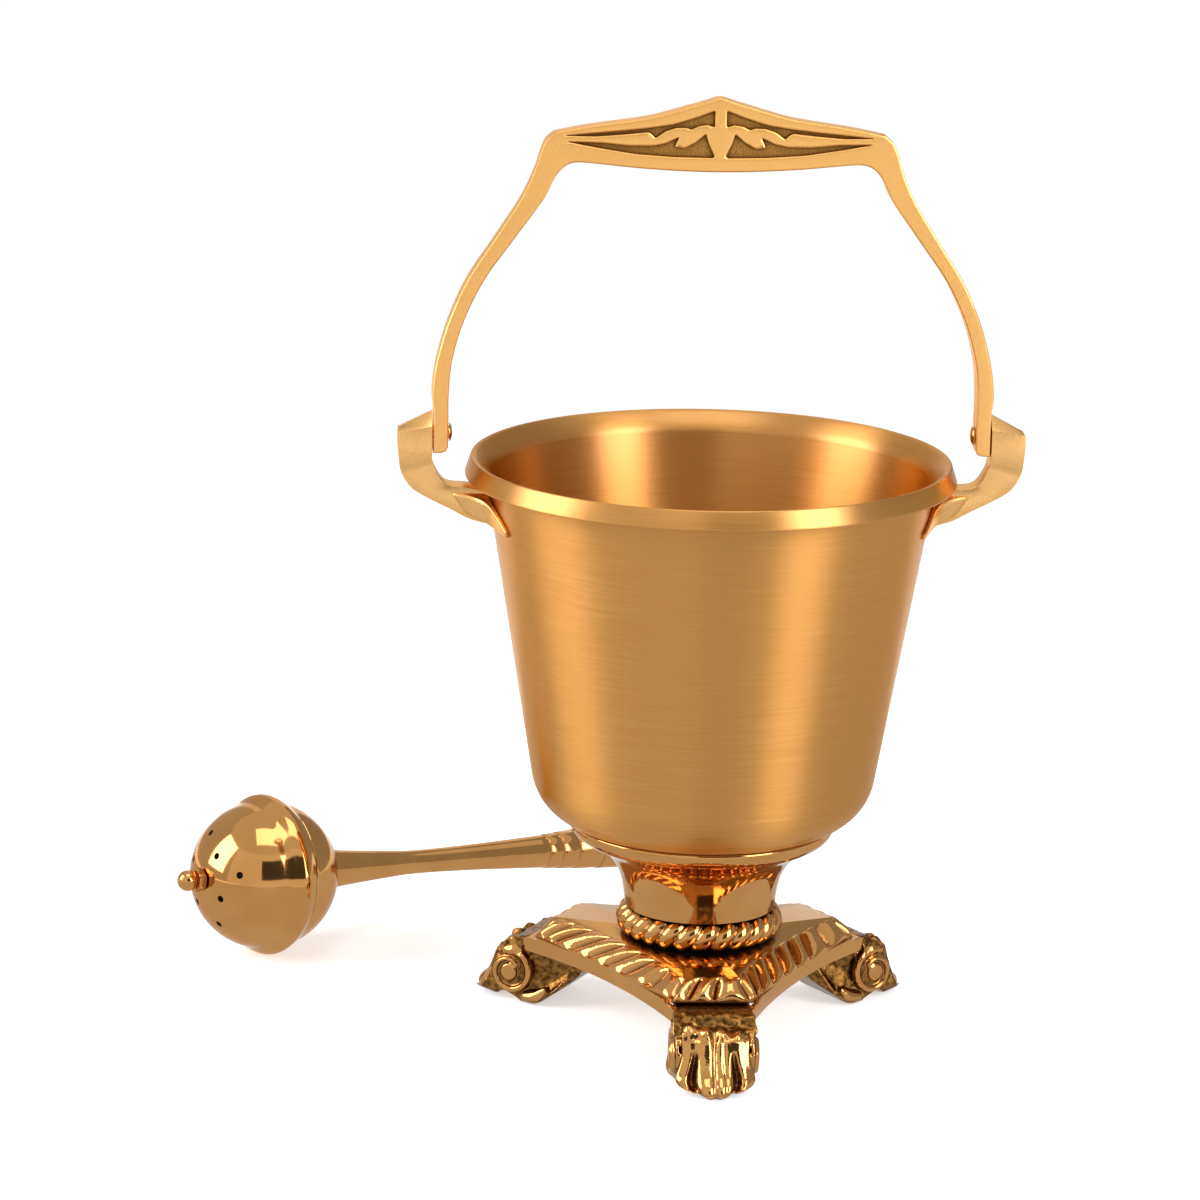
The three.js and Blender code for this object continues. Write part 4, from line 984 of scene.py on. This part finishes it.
# %% [markdown]
# ## Lugs and pins
# Each lug is a casting: a curved saddle brazed to the wall, an arm that swings out under the rim
# and an upright block with a hipped top. A rivet pin goes through a hole in the bail's end and
# into the block, so its domed head shows on the bail's inner face.

# %% Lugs
LUG_FACE = RIM_RADIUS + 10.1
PAD_DROP, PAD_HEIGHT, PAD_THICKNESS, PAD_TIP, PAD_HALF_ANGLE = 14, 9.8, 4.7, 1.1, 20
# Sections from the block's ridge down to the wall. Each has an inner and an outer place, both out
# from the block's face and up from the pivot, and half a width.
LUG_BLOCK = [(0, 6.9, 10.2, 1.35, 0.25), (0, 2.6, 10.4, 0.9, 4.65), (0, -4, 10.5, -3.6, 4.7)]
LUG_ARM = [(-0.1, -7.6, 9.9, -9.6, 4.6), (-0.4, -9.4, 9.5, -11.4, 4.2), (-1.7, -12.2, 8.1, -14.2, 4.2),
           (-3.6, -14.9, 5.6, -17.2, 4.2), (-6, -16, 1.1, -19.8, 4.3), (-10, -16.3, -5.6, -23.1, 4.5),
           (-13.6, -16.9, -11.4, -26.1, 4.6), (-18, -17.8, -16.6, -27.6, 4.6)]


def lug_section(values):
    in_x, in_z, out_x, out_z, half = values
    x0, z0 = LUG_FACE + in_x, pivot_height + in_z
    x1, z1 = LUG_FACE + out_x, pivot_height + out_z
    return [(x0, -half, z0), (x1, -half, z1), (x1, half, z1), (x0, half, z0)]


def wall_at(up):
    return wall_radius - (wall_top - up) * TAPER


def saddle():
    """The pad hugs the wall. It is thin at its tips and flares out into the arm's sides."""
    bottom, top = wall_top - PAD_DROP, wall_top - PAD_DROP + PAD_HEIGHT
    rings = []
    for k in range(65):
        share = k / 32 - 1
        angle = math.radians(PAD_HALF_ANGLE * share)
        beside_arm = max(wall_radius * abs(angle) - 4.2, 0)
        thick = PAD_TIP + 2.2 * PAD_THICKNESS * math.exp(-beside_arm / 3.7)
        peak = top - 0.82 * PAD_HEIGHT * abs(share) ** 2
        lower, upper = wall_at(bottom) + 0.05, wall_at(peak) + 0.05
        section = rounded([(lower, bottom), (lower + thick * 0.8, bottom + 0.34 * (thick - PAD_TIP)),
                           (upper + thick, peak), (upper, peak)], 1.5, 5)
        rings.append([(r * math.cos(angle), r * math.sin(angle), z) for r, z in section])
    return loft(rings)


def lug_mesh():
    """Block and arm are one skin, and the saddle is pushed into the arm's end."""
    arm_sections = [lug_section(v) for v in LUG_ARM]
    columns = [smooth([section[k] for section in arm_sections], 4) for k in range(4)]
    arm = list(zip(*columns))
    block = [lug_section(v) for v in LUG_BLOCK]
    rough = make_mesh("lug_parts", *merged([loft(block + arm), saddle()]), sharp=25)
    bevel = {"width": 0.45 * MM, "segments": 3, "limit_method": "ANGLE", "angle_limit": math.radians(28),
             "harden_normals": False}
    made = through_modifiers(rough, ("BEVEL", bevel))
    made.shade_smooth()
    made.set_sharp_from_angle(angle=math.radians(35))
    return made


lug = lug_mesh()
for name, degrees in (("right", 0), ("left", 180)):
    turn = bucket_place @ Matrix.Rotation(math.radians(degrees), 4, "Z")
    place(f"lug_{name}_cast", lug, turn, "bucket", [f"lug_{name}"], filed)

# %% Pivot pins
PIN, PIN_HEAD, PIN_HEAD_HEIGHT = 2, 2.9, 1.1
BAIL_THICKNESS = 4.6
bail_span = LUG_FACE - GAP
head_seat = bail_span - BAIL_THICKNESS - GAP
pin_dome = [(PIN_HEAD * math.cos(math.radians(a)), -PIN_HEAD_HEIGHT * math.sin(math.radians(a)))
            for a in range(0, 90, 9)]
pin_profile = [(0, 11.5), (PIN - 0.4, 11.5), (PIN, 11.1), (PIN, 0), (PIN_HEAD - 0.2, 0), *pin_dome,
               (0, -PIN_HEAD_HEIGHT)]
for name, side in (("left", -1), ("right", 1)):
    spot = Matrix.Translation((side * head_seat * MM, 0, pivot_height * MM))
    turn = Matrix.Rotation(side * math.pi / 2, 4, "Y")
    place(f"pivot_pin_{name}_domed", make_mesh("pin", *lathe(pin_profile, 40, False)),
          bucket_place @ spot @ turn, "bucket", [f"pivot_pin_{name}"], turned)

# %% [markdown]
# ## Bail
# The bail is one flat casting with filed edges. Its outline is drawn once for the right half, as
# shares of its span and rise, and mirrored. A filled curve with a bevel gives the flat faces
# and the small chamfer in one go. Four openings leave a leaf standing on either side of the
# middle, and a thinner plate inside them is the sunk floor. The ends are drilled for the pins.

# %% Outline of the bail
BAIL_RISE, BAIL_TAIL = 104.1, 5.8
BAIL_DEPTH_END, BAIL_DEPTH_GRIP = 9, 6.5
RELIEF_DEPTH = 1.2


def bail_at(point):
    return point[0] * bail_span, point[1] * BAIL_RISE


def bail_outline():
    arm_end = (bail_span - BAIL_THICKNESS) / bail_span
    inner = smooth([bail_at(p) for p in (
        (0, 0.783), (0.12, 0.785), (0.29, 0.793), (0.44, 0.805), (0.5, 0.808), (0.535, 0.802),
        (0.562, 0.785), (0.586, 0.757), (0.623, 0.696), (0.726, 0.577), (0.824, 0.462), (0.896, 0.338),
        (arm_end - 0.01, 0.218), (arm_end, 0.12), (arm_end, 0.05))], 6)
    outer = smooth([bail_at(p) for p in (
        (1, 0.078), (1.005, 0.13), (0.991, 0.218), (0.95, 0.338), (0.884, 0.462), (0.794, 0.577),
        (0.703, 0.696), (0.656, 0.78), (0.632, 0.842), (0.616, 0.873))], 6)
    top = smooth([bail_at(p) for p in ((0.587, 0.894), (0.466, 0.914), (0.3, 0.934), (0.222, 0.947),
                                       (0.122, 0.9705), (0.05, 0.988), (0.018, 0.997), (0, 1))], 4)
    inside = bail_span - BAIL_THICKNESS
    end = [(inside, -BAIL_TAIL + 1.8), (inside + 0.6, -BAIL_TAIL + 0.5), (inside + 1.8, -BAIL_TAIL),
           (bail_span, -BAIL_TAIL)]
    half = inner + end + outer + top
    return half + [(-x, z) for x, z in half[-2:0:-1]]


PANEL_ABOVE = [(0.547, 0.886), (0.44, 0.8945), (0.331, 0.903), (0.248, 0.911), (0.17, 0.921), (0.117, 0.934),
               (0.08, 0.944), (0.021, 0.963), (0.021, 0.915), (0.048, 0.922), (0.079, 0.918), (0.105, 0.907),
               (0.12, 0.913), (0.159, 0.912), (0.196, 0.902), (0.23, 0.881), (0.242, 0.892),
               (0.255, 0.899), (0.348, 0.891), (0.438, 0.885)]
PANEL_BELOW = [(0.54, 0.868), (0.421, 0.866), (0.322, 0.858), (0.24, 0.858), (0.193, 0.866), (0.146, 0.885),
               (0.162, 0.856), (0.127, 0.852), (0.087, 0.87), (0.052, 0.895), (0.04, 0.864), (0.02, 0.83),
               (0.026, 0.825), (0.167, 0.827), (0.303, 0.835), (0.42, 0.85)]


def panels():
    for panel in (PANEL_ABOVE, PANEL_BELOW):
        points = rounded([bail_at(p) for p in panel], 0.6, 3)
        yield points
        yield [(-x, z) for x, z in reversed(points)]


# %% Filled curves
def filled(name, outlines, half_depth, chamfer):
    """A flat plate in X and Z, its outlines drawn by closed curves, the inner ones as holes."""
    curve = bpy.data.curves.new(name, "CURVE")
    curve.dimensions = "2D"
    curve.fill_mode = "BOTH"
    curve.extrude = (half_depth - chamfer) * MM
    curve.bevel_depth = chamfer * MM
    curve.bevel_resolution = 2
    curve.offset = -chamfer * MM
    for outline in outlines:
        spline = curve.splines.new("POLY")
        spline.points.add(len(outline) - 1)
        for point, (x, z) in zip(spline.points, outline):
            point.co = (x * MM, z * MM, 0, 1)
        spline.use_cyclic_u = True
    carrier = new_object(name, curve)
    state = bpy.context.evaluated_depsgraph_get()
    mesh = bpy.data.meshes.new_from_object(carrier.evaluated_get(state))
    bpy.data.objects.remove(carrier)
    for vertex in mesh.vertices:
        x, z, y = vertex.co
        vertex.co = (x, -y, z)
    return mesh


def bored_for_pins(mesh):
    """The plate with the hole through each of its ends in which a pin sits."""
    reach = bail_span + 5
    return drilled(mesh, [drill(PIN + GAP, -reach, reach, Matrix.Rotation(math.pi / 2, 3, "Y"), 48)])


def slimmed(mesh, full):
    """Thins the plate towards the grip, where the bail is shallower than at the pivots."""
    low, high = 0.2 * BAIL_RISE * MM, 0.7 * BAIL_RISE * MM
    for vertex in mesh.vertices:
        t = min(max((vertex.co.z - low) / (high - low), 0), 1)
        vertex.co.y *= (BAIL_DEPTH_END + (BAIL_DEPTH_GRIP - BAIL_DEPTH_END) * t) / full
    mesh = bored_for_pins(mesh)
    mesh.shade_smooth()
    mesh.set_sharp_from_angle(angle=math.radians(28))
    return through_modifiers(mesh, ("WEIGHTED_NORMAL", {"keep_sharp": True, "weight": 100}))


bail_place = bucket_place @ Matrix.Translation((0, 0, pivot_height * MM))
plate = slimmed(filled("bail", [bail_outline(), *panels()], BAIL_DEPTH_END / 2, 0.7), BAIL_DEPTH_END)
place("bail_cast", plate, bail_place, "bail", ["bail"], brushed)
floor_above = [(0.56, 0.878), (0.44, 0.898), (0.25, 0.92), (0.1, 0.95), (0, 0.972)]
floor_below = [(0, 0.816), (0.17, 0.82), (0.3, 0.828), (0.42, 0.843), (0.56, 0.866)]
right_half = [bail_at(p) for p in floor_below + floor_above]
floor_outline = right_half + [(-x, z) for x, z in right_half[-2:0:-1]]
sunk = filled("relief_floor", [floor_outline], BAIL_DEPTH_GRIP / 2 - RELIEF_DEPTH, 0.05)
place("bail_relief_floor", sunk, bail_place, "bail", ["bail"], stippled)
print("the bail is", round(BAIL_DEPTH_END, 1), "mm deep at its pins and", BAIL_DEPTH_GRIP, "at its grip")

# %% [markdown]
# ## Sprinkler
# The head is a hollow ball in two halves with a rounded band between them. The front half, with
# its spray holes, screws off so that the sponge inside can be soaked. The handle is turned: it
# narrows behind the head, swells again and has three rings cut round it.

# %% Head
HEAD, HEAD_WALL, BAND_RISE, BAND_HALF = 24.2, 1.5, 2.1, 4.6
head_bore = HEAD - HEAD_WALL


def head_radius(z):
    swell = math.cos(math.pi / 2 * min(abs(z) / (BAND_HALF + 1.6), 1)) ** 2
    return math.sqrt(max(HEAD**2 - z * z, 0)) + BAND_RISE * swell


def head_normal(point):
    """Which way the true surface of the head faces at a point near it."""
    radius = math.hypot(point.x, point.y)
    step = 0.01
    slope = (head_radius(point.z + step) - head_radius(point.z - step)) / (2 * step)
    return Vector((point.x / radius, point.y / radius, -slope)).normalized()


cap_up = [-HEAD * math.cos(math.radians(a)) for a in range(4, 78, 3)]
band_up = [-4.4, -3.6, -2.8, -2, -1.2, -0.4, 0.4, 1.2, 2, 2.8, 3.6, 4.2, BAND_HALF - 0.15]
cap_outside = [(head_radius(z), z) for z in cap_up + [-5.3] + band_up]
cap_inside = arc(0, 0, head_bore, 0, -90, 20)
cap_profile = [(0, -HEAD), *cap_outside, (head_radius(BAND_HALF) - 0.2, BAND_HALF),
               (head_bore, BAND_HALF), *cap_inside]

# %% Spray holes
SPRAY_HOLE = 1.15
SPRAY_RINGS = ((24, 27), (38, 72))  # degrees from the tip, and round the axis


def pierced_cap():
    """The cap with its holes cut, still shaded as the smooth ball that it is."""
    whole = make_mesh("cap_whole", *lathe(cap_profile, 128, False))
    drills = []
    for polar, first in SPRAY_RINGS:
        for k in range(4):
            turn = (Matrix.Rotation(math.radians(first + 90 * k), 3, "Z")
                    @ Matrix.Rotation(math.pi - math.radians(polar), 3, "Y"))
            drills.append(drill(SPRAY_HOLE, HEAD - 4, HEAD + 2, turn, 20))
    made = drilled(whole, drills)
    made.materials.append(turned)
    made.materials.append(bored)
    normals = []
    for face in made.polygons:
        spot = face.center / MM
        outward = spot.length > head_bore + 0.3 and math.hypot(spot.x, spot.y) > 0.5
        outer_skin = not outward or head_normal(spot).dot(face.normal) > 0.5
        face.material_index = 0 if outer_skin and spot.length > head_bore + 0.3 else 1
        for corner in face.loop_indices:
            spot = made.vertices[made.loops[corner].vertex_index].co / MM
            away = spot.length > head_bore + 0.3 and math.hypot(spot.x, spot.y) > 0.5
            true = head_normal(spot) if away else face.normal
            normals.append(true if true.dot(face.normal) > 0.9 else made.corner_normals[corner].vector)
    made.normals_split_custom_set([tuple(n) for n in normals])
    return made


cap = pierced_cap()
place("sprinkler_cap_pierced", cap, sprinkler_place, "sprinkler_cap", ["sprinkler_cap"],
      turned)

# %% Rear half
STUD, STUD_END = 2.4, 42  # radius of the stud, and where its hole in the handle ends
shell_start = BAND_HALF + GAP
spigot = math.sqrt(head_bore**2 - 4) - 1.5 * GAP
shell_bore = spigot - 1.2
shell_up = [shell_start + 0.2, 5.4, 6, 6.8] + [HEAD * math.cos(math.radians(a)) for a in range(72, 10, -3)]
shell_outside = [(head_radius(z), z) for z in shell_up]
spigot_low = shell_start - 6.6
thread = [(spigot - (0.45 if k % 2 else 0), spigot_low + 0.4 + 0.5 * k) for k in range(12)]
shell_profile = [*thread, (spigot, shell_start), (head_radius(shell_start) - 0.2, shell_start),
                 *shell_outside, (STUD + GAP, HEAD - 0.6), *arc(0, 0, shell_bore, 81, 0, 18),
                 (shell_bore, spigot_low)]
place("sprinkler_shell_turned", make_mesh("shell", *lathe(shell_profile, 160)), sprinkler_place,
      "sprinkler", ["sprinkler_shell"], turned)

# %% Finial
FINIAL_BALL, COLLAR, COLLAR_FLATS, FINIAL_NECK, FINIAL_PEG = 3.4, 2.6, 7, 1.9, 1.3
collar_top = -HEAD - GAP
collar_end = collar_top - COLLAR
ball_middle = collar_end - 0.7 * FINIAL_BALL
ball = [(FINIAL_BALL * math.sin(math.radians(a)), ball_middle - FINIAL_BALL * math.cos(math.radians(a)))
        for a in range(0, 136, 9)]
neck = [(FINIAL_NECK, collar_end - 0.05), (FINIAL_NECK, collar_end + 0.2), (0, collar_end + 0.2)]
peg = [(0, collar_end), (FINIAL_PEG, collar_end), (FINIAL_PEG, -head_bore), (0, -head_bore)]
finial_parts = [hexagon(COLLAR_FLATS / math.sqrt(3), collar_end, collar_top, FINIAL_PEG - 0.1, 0.35),
                lathe(ball + neck, 48, False), lathe(peg, 24, False)]
place("sprinkler_finial_turned", make_mesh("finial", *merged(finial_parts)), sprinkler_place,
      "sprinkler_cap", ["sprinkler_finial"], turned)

# %% Sponge and stud
SPONGE_ROOM = 2.2  # between the sponge and the wall round it
sponge_radius = head_bore - SPONGE_ROOM


def sponge_mesh():
    """A ball of foam with an uneven skin. It stays clear of the head's wall."""
    profile = [(sponge_radius * math.sin(math.radians(a)), -sponge_radius * math.cos(math.radians(a)))
               for a in range(0, 181, 3)]
    points, faces = lathe(profile, 96, False)
    lumpy = []
    for p in points:
        spot = Vector(p)
        dent = 0.5 * (1 + noise.noise(spot / 2.2)) + 0.35 * (1 + noise.noise(spot / 0.9))
        lumpy.append(tuple(spot * (1 - dent / sponge_radius)))
    return make_mesh("sponge", lumpy, faces, sharp=180)


place("sprinkler_sponge_foam", sponge_mesh(), sprinkler_place, "sprinkler", ["sprinkler_sponge"],
      foam)
stud_profile = threaded(STUD, HEAD - 3.4, STUD_END - GAP)
place("sprinkler_stud_threaded", make_mesh("stud", *lathe(stud_profile, 32, False)), sprinkler_place,
      "sprinkler", ["sprinkler_stud"], steel)

# %% Handle, grip and pommel
GRIP_START, GRIP_END, SPRINKLER_END = 135.6, 185, 193
POMMEL, POMMEL_AT = 8.8, 188.6
handle_start = HEAD - 0.1
handle = [(6.2, handle_start), *smooth([(6.6, handle_start + 0.4), (5.8, 32), (4.7, 46), (3.95, 60.5),
                                        (4.4, 84.5), (5.45, 110)], 9)]
for ring_at, radius in ((113, 5.65), (118.3, 6.1), (125, 6.6)):
    handle += [(radius - 0.03, ring_at - 0.45), (radius - 0.1, ring_at - 0.3), (radius - 0.42, ring_at),
               (radius, ring_at + 0.3), (radius + 0.1, ring_at + 0.5)]
stud_bore = STUD + GAP
handle_profile = [(0, STUD_END), (stud_bore, STUD_END), (stud_bore, handle_start), *handle,
                  (7, GRIP_START - 0.6), (6.8, GRIP_START - GAP), (0, GRIP_START - GAP)]
place("sprinkler_handle_turned", make_mesh("handle", *lathe(handle_profile, 96, False)), sprinkler_place,
      "sprinkler", ["sprinkler_handle"], turned)

grip_profile = [(0, GRIP_START), (6.4, GRIP_START), *smooth([
    (6.7, GRIP_START + 0.2), (7.3, GRIP_START + 1), (7.6, GRIP_START + 18), (7.3, GRIP_END - 8),
    (6.95, GRIP_END - 0.3)], 6), (6.7, GRIP_END), (0, GRIP_END)]
place("sprinkler_grip_turned", make_mesh("grip", *lathe(grip_profile, 96, False)), sprinkler_place,
      "sprinkler", ["sprinkler_grip"], turned)

pommel_start = GRIP_END + GAP
pommel_rise = SPRINKLER_END - POMMEL_AT
pommel_dome = [(POMMEL * math.cos(math.radians(a)), POMMEL_AT + pommel_rise * math.sin(math.radians(a)))
               for a in range(0, 90, 8)]
pommel_profile = [(0, pommel_start), (0.76 * POMMEL, pommel_start), *smooth([
    (0.8 * POMMEL, pommel_start + 0.2), (0.94 * POMMEL, (pommel_start + POMMEL_AT) / 2), pommel_dome[0]], 4),
    *pommel_dome[1:], (0, SPRINKLER_END)]
place("sprinkler_pommel_turned", make_mesh("pommel", *lathe(pommel_profile, 96, False)), sprinkler_place,
      "sprinkler", ["sprinkler_pommel"], turned)
print("pieces:", len(made_pieces))

# %% [markdown]
# ## Table and light
# Metal shows its surroundings more than itself. So the set stands on a white table in a white
# room, with soft boxes left, right and above, as a product photographer would set it. Grey cards
# stand in front and at both sides, one lies on the table and one hangs overhead. Only reflections
# show them, and the tone of each one sets how light the metal is where it faces that card.

# %% Table
def flat_sheet(name, corners, material):
    mesh = bpy.data.meshes.new(name)
    mesh.from_pydata([Vector(c) for c in corners], [], [tuple(range(len(corners)))])
    mesh.materials.append(material)
    sheet = new_object(name, mesh)
    return sheet


def background_rays(tree):
    """1 for a ray from the camera, a reflection or a pane of glass, and 0 for all other light."""
    path = add(tree, "ShaderNodeLightPath").outputs
    seen = add(tree, "ShaderNodeMath", {"operation": "MAXIMUM"}, s0=path["Is Camera Ray"],
               s1=path["Is Glossy Ray"])
    both = add(tree, "ShaderNodeMath", {"operation": "MAXIMUM"}, s0=seen.outputs[0],
               s1=path["Is Transmission Ray"])
    return both.outputs[0]


def white_table():
    """White paint on which the object's shadow shows."""
    material, tree, shader = new_material("table_white")
    glow = add(tree, "ShaderNodeMath", {"operation": "MULTIPLY"}, s0=background_rays(tree), s1=TABLE_GLOW)
    give(tree, shader, Base_Color=linear("#F4F4F4"), Roughness=0.8, Specular_IOR_Level=0.1,
         Emission_Color=(1, 1, 1, 1), Emission_Strength=glow.outputs[0])
    return material


TABLE = 0.85
TABLE_GLOW = 0.55
flat_sheet("table", [(-TABLE, -TABLE, 0), (TABLE, -TABLE, 0), (TABLE, TABLE, 0), (-TABLE, TABLE, 0)],
           white_table())

# %% World
ROOM_LIGHT = 0.35
world = bpy.data.worlds.new("white_room")
bpy.context.scene.world = world
world.use_nodes = True
strength = add(world.node_tree, "ShaderNodeMapRange", s0=background_rays(world.node_tree),
               s3=ROOM_LIGHT, s4=1.0)
give(world.node_tree, world.node_tree.nodes["Background"], Color=(1, 1, 1, 1),
     Strength=strength.outputs[0])
print("room light:", ROOM_LIGHT)


# %% Lamps
def around(azimuth, distance, up):
    """A place round the bucket. Azimuth 0 is in front and 90 to the right."""
    angle = math.radians(azimuth)
    return Vector((axis.x + math.sin(angle) * distance, axis.y - math.cos(angle) * distance, up))


def soft_box(name, azimuth, up, distance, width, tall, power):
    """A rectangular lamp that faces the bucket."""
    spot = around(azimuth, distance, up)
    lamp = bpy.data.lights.new(name, "AREA")
    lamp.shape = "RECTANGLE"
    lamp.size, lamp.size_y, lamp.energy = width, tall, power
    carrier = new_object(name, lamp)
    aim = Vector((axis.x, axis.y, 0.12)) - spot
    carrier.matrix_world = Matrix.Translation(spot) @ aim.to_track_quat("-Z", "Y").to_matrix().to_4x4()


soft_box("soft_box_right", 46, 0.7, 1.3, 0.62, 1.0, 13)
soft_box("soft_box_left", -88, 0.7, 1.3, 0.8, 1.0, 15)
soft_box("soft_box_above", 0, 1.7, 0.3, 0.9, 0.9, 6)
print("lamps:", len(bpy.data.lights))


# %% Grey cards
def card_material(tone):
    """A grey card of even tone, which shines by itself so that no lamp changes it."""
    material, tree, shader = new_material(f"card_grey_{round(100 * tone)}")
    give(tree, shader, Base_Color=(0, 0, 0, 1), Specular_IOR_Level=0, Emission_Color=(1, 1, 1, 1),
         Emission_Strength=tone)
    return material


def only_in_reflections(sheet):
    sheet.visible_camera = False
    sheet.visible_shadow = False
    sheet.visible_diffuse = False


def curved_card(name, start, end, distance, low, high, tone):
    """A card that curves round the bucket from one azimuth to another."""
    steps = max(2, round(abs(end - start) / 6))
    turns = [start + (end - start) * k / steps for k in range(steps + 1)]
    points = [around(a, distance, up) for up in (low, high) for a in turns]
    faces = [(k, k + 1, steps + k + 2, steps + k + 1) for k in range(steps)]
    mesh = bpy.data.meshes.new(name)
    mesh.from_pydata(points, [], faces)
    mesh.materials.append(card_material(tone))
    sheet = new_object(name, mesh)
    only_in_reflections(sheet)


ROOM_TONE = 0.95  # the room behind the photographer
curved_card("cards_front", -62, 64, 2.0, 0, 2.2, ROOM_TONE)
curved_card("cards_left", -166, -62, 2.0, 0, 2.2, 0.62)
curved_card("cards_right", 64, 166, 2.0, 0, 2.2, 0.42)
curved_card("card_dark", -8, 36, 1.9, 0.28, 1.5, 0.08)
flat_cards = [("card_ceiling", 2.1, 2.2, 0.8), ("card_on_table", 0.62, 0.0015, 0.74)]
for name, reach, up, tone in flat_cards:
    back = reach if up > 1 else 0.3
    corners = [(axis.x - reach, axis.y - reach, up), (axis.x + reach, axis.y - reach, up),
               (axis.x + reach, axis.y + back, up), (axis.x - reach, axis.y + back, up)]
    only_in_reflections(flat_sheet(name, corners, card_material(tone)))

# %% [markdown]
# ## Camera
# The camera stands a little to the left of the front and looks slightly down, with a long lens,
# so the sides of the bucket stay nearly parallel. It is turned a little about its own view.

# %% Camera
LENS = 152.92  # mm on a sensor 36 mm wide
CAMERA_AT = Vector((-139.79, -1527.13, 514.92)) * MM  # from the bucket's axis
LOOKS_AT = Vector((-33.21, 2.31, 136.19)) * MM
ROLL = 1.228  # degrees

camera_data = bpy.data.cameras.new("camera")
camera_data.sensor_width = 36
camera_data.lens = LENS
camera_data.clip_start, camera_data.clip_end = 0.05, 20
camera = new_object("camera", camera_data)
look = (LOOKS_AT - CAMERA_AT).to_track_quat("-Z", "Y").to_matrix().to_4x4()
spot = Matrix.Translation(CAMERA_AT + Vector((axis.x, axis.y, 0)))
camera.matrix_world = spot @ look @ Matrix.Rotation(math.radians(ROLL), 4, "Z")
bpy.context.scene.camera = camera
print("the camera is", round(CAMERA_AT.length, 2), "m from the bucket's foot")
bpy.context.scene.view_settings.view_transform = "Standard"

# %% The end
bpy.context.view_layer.update()
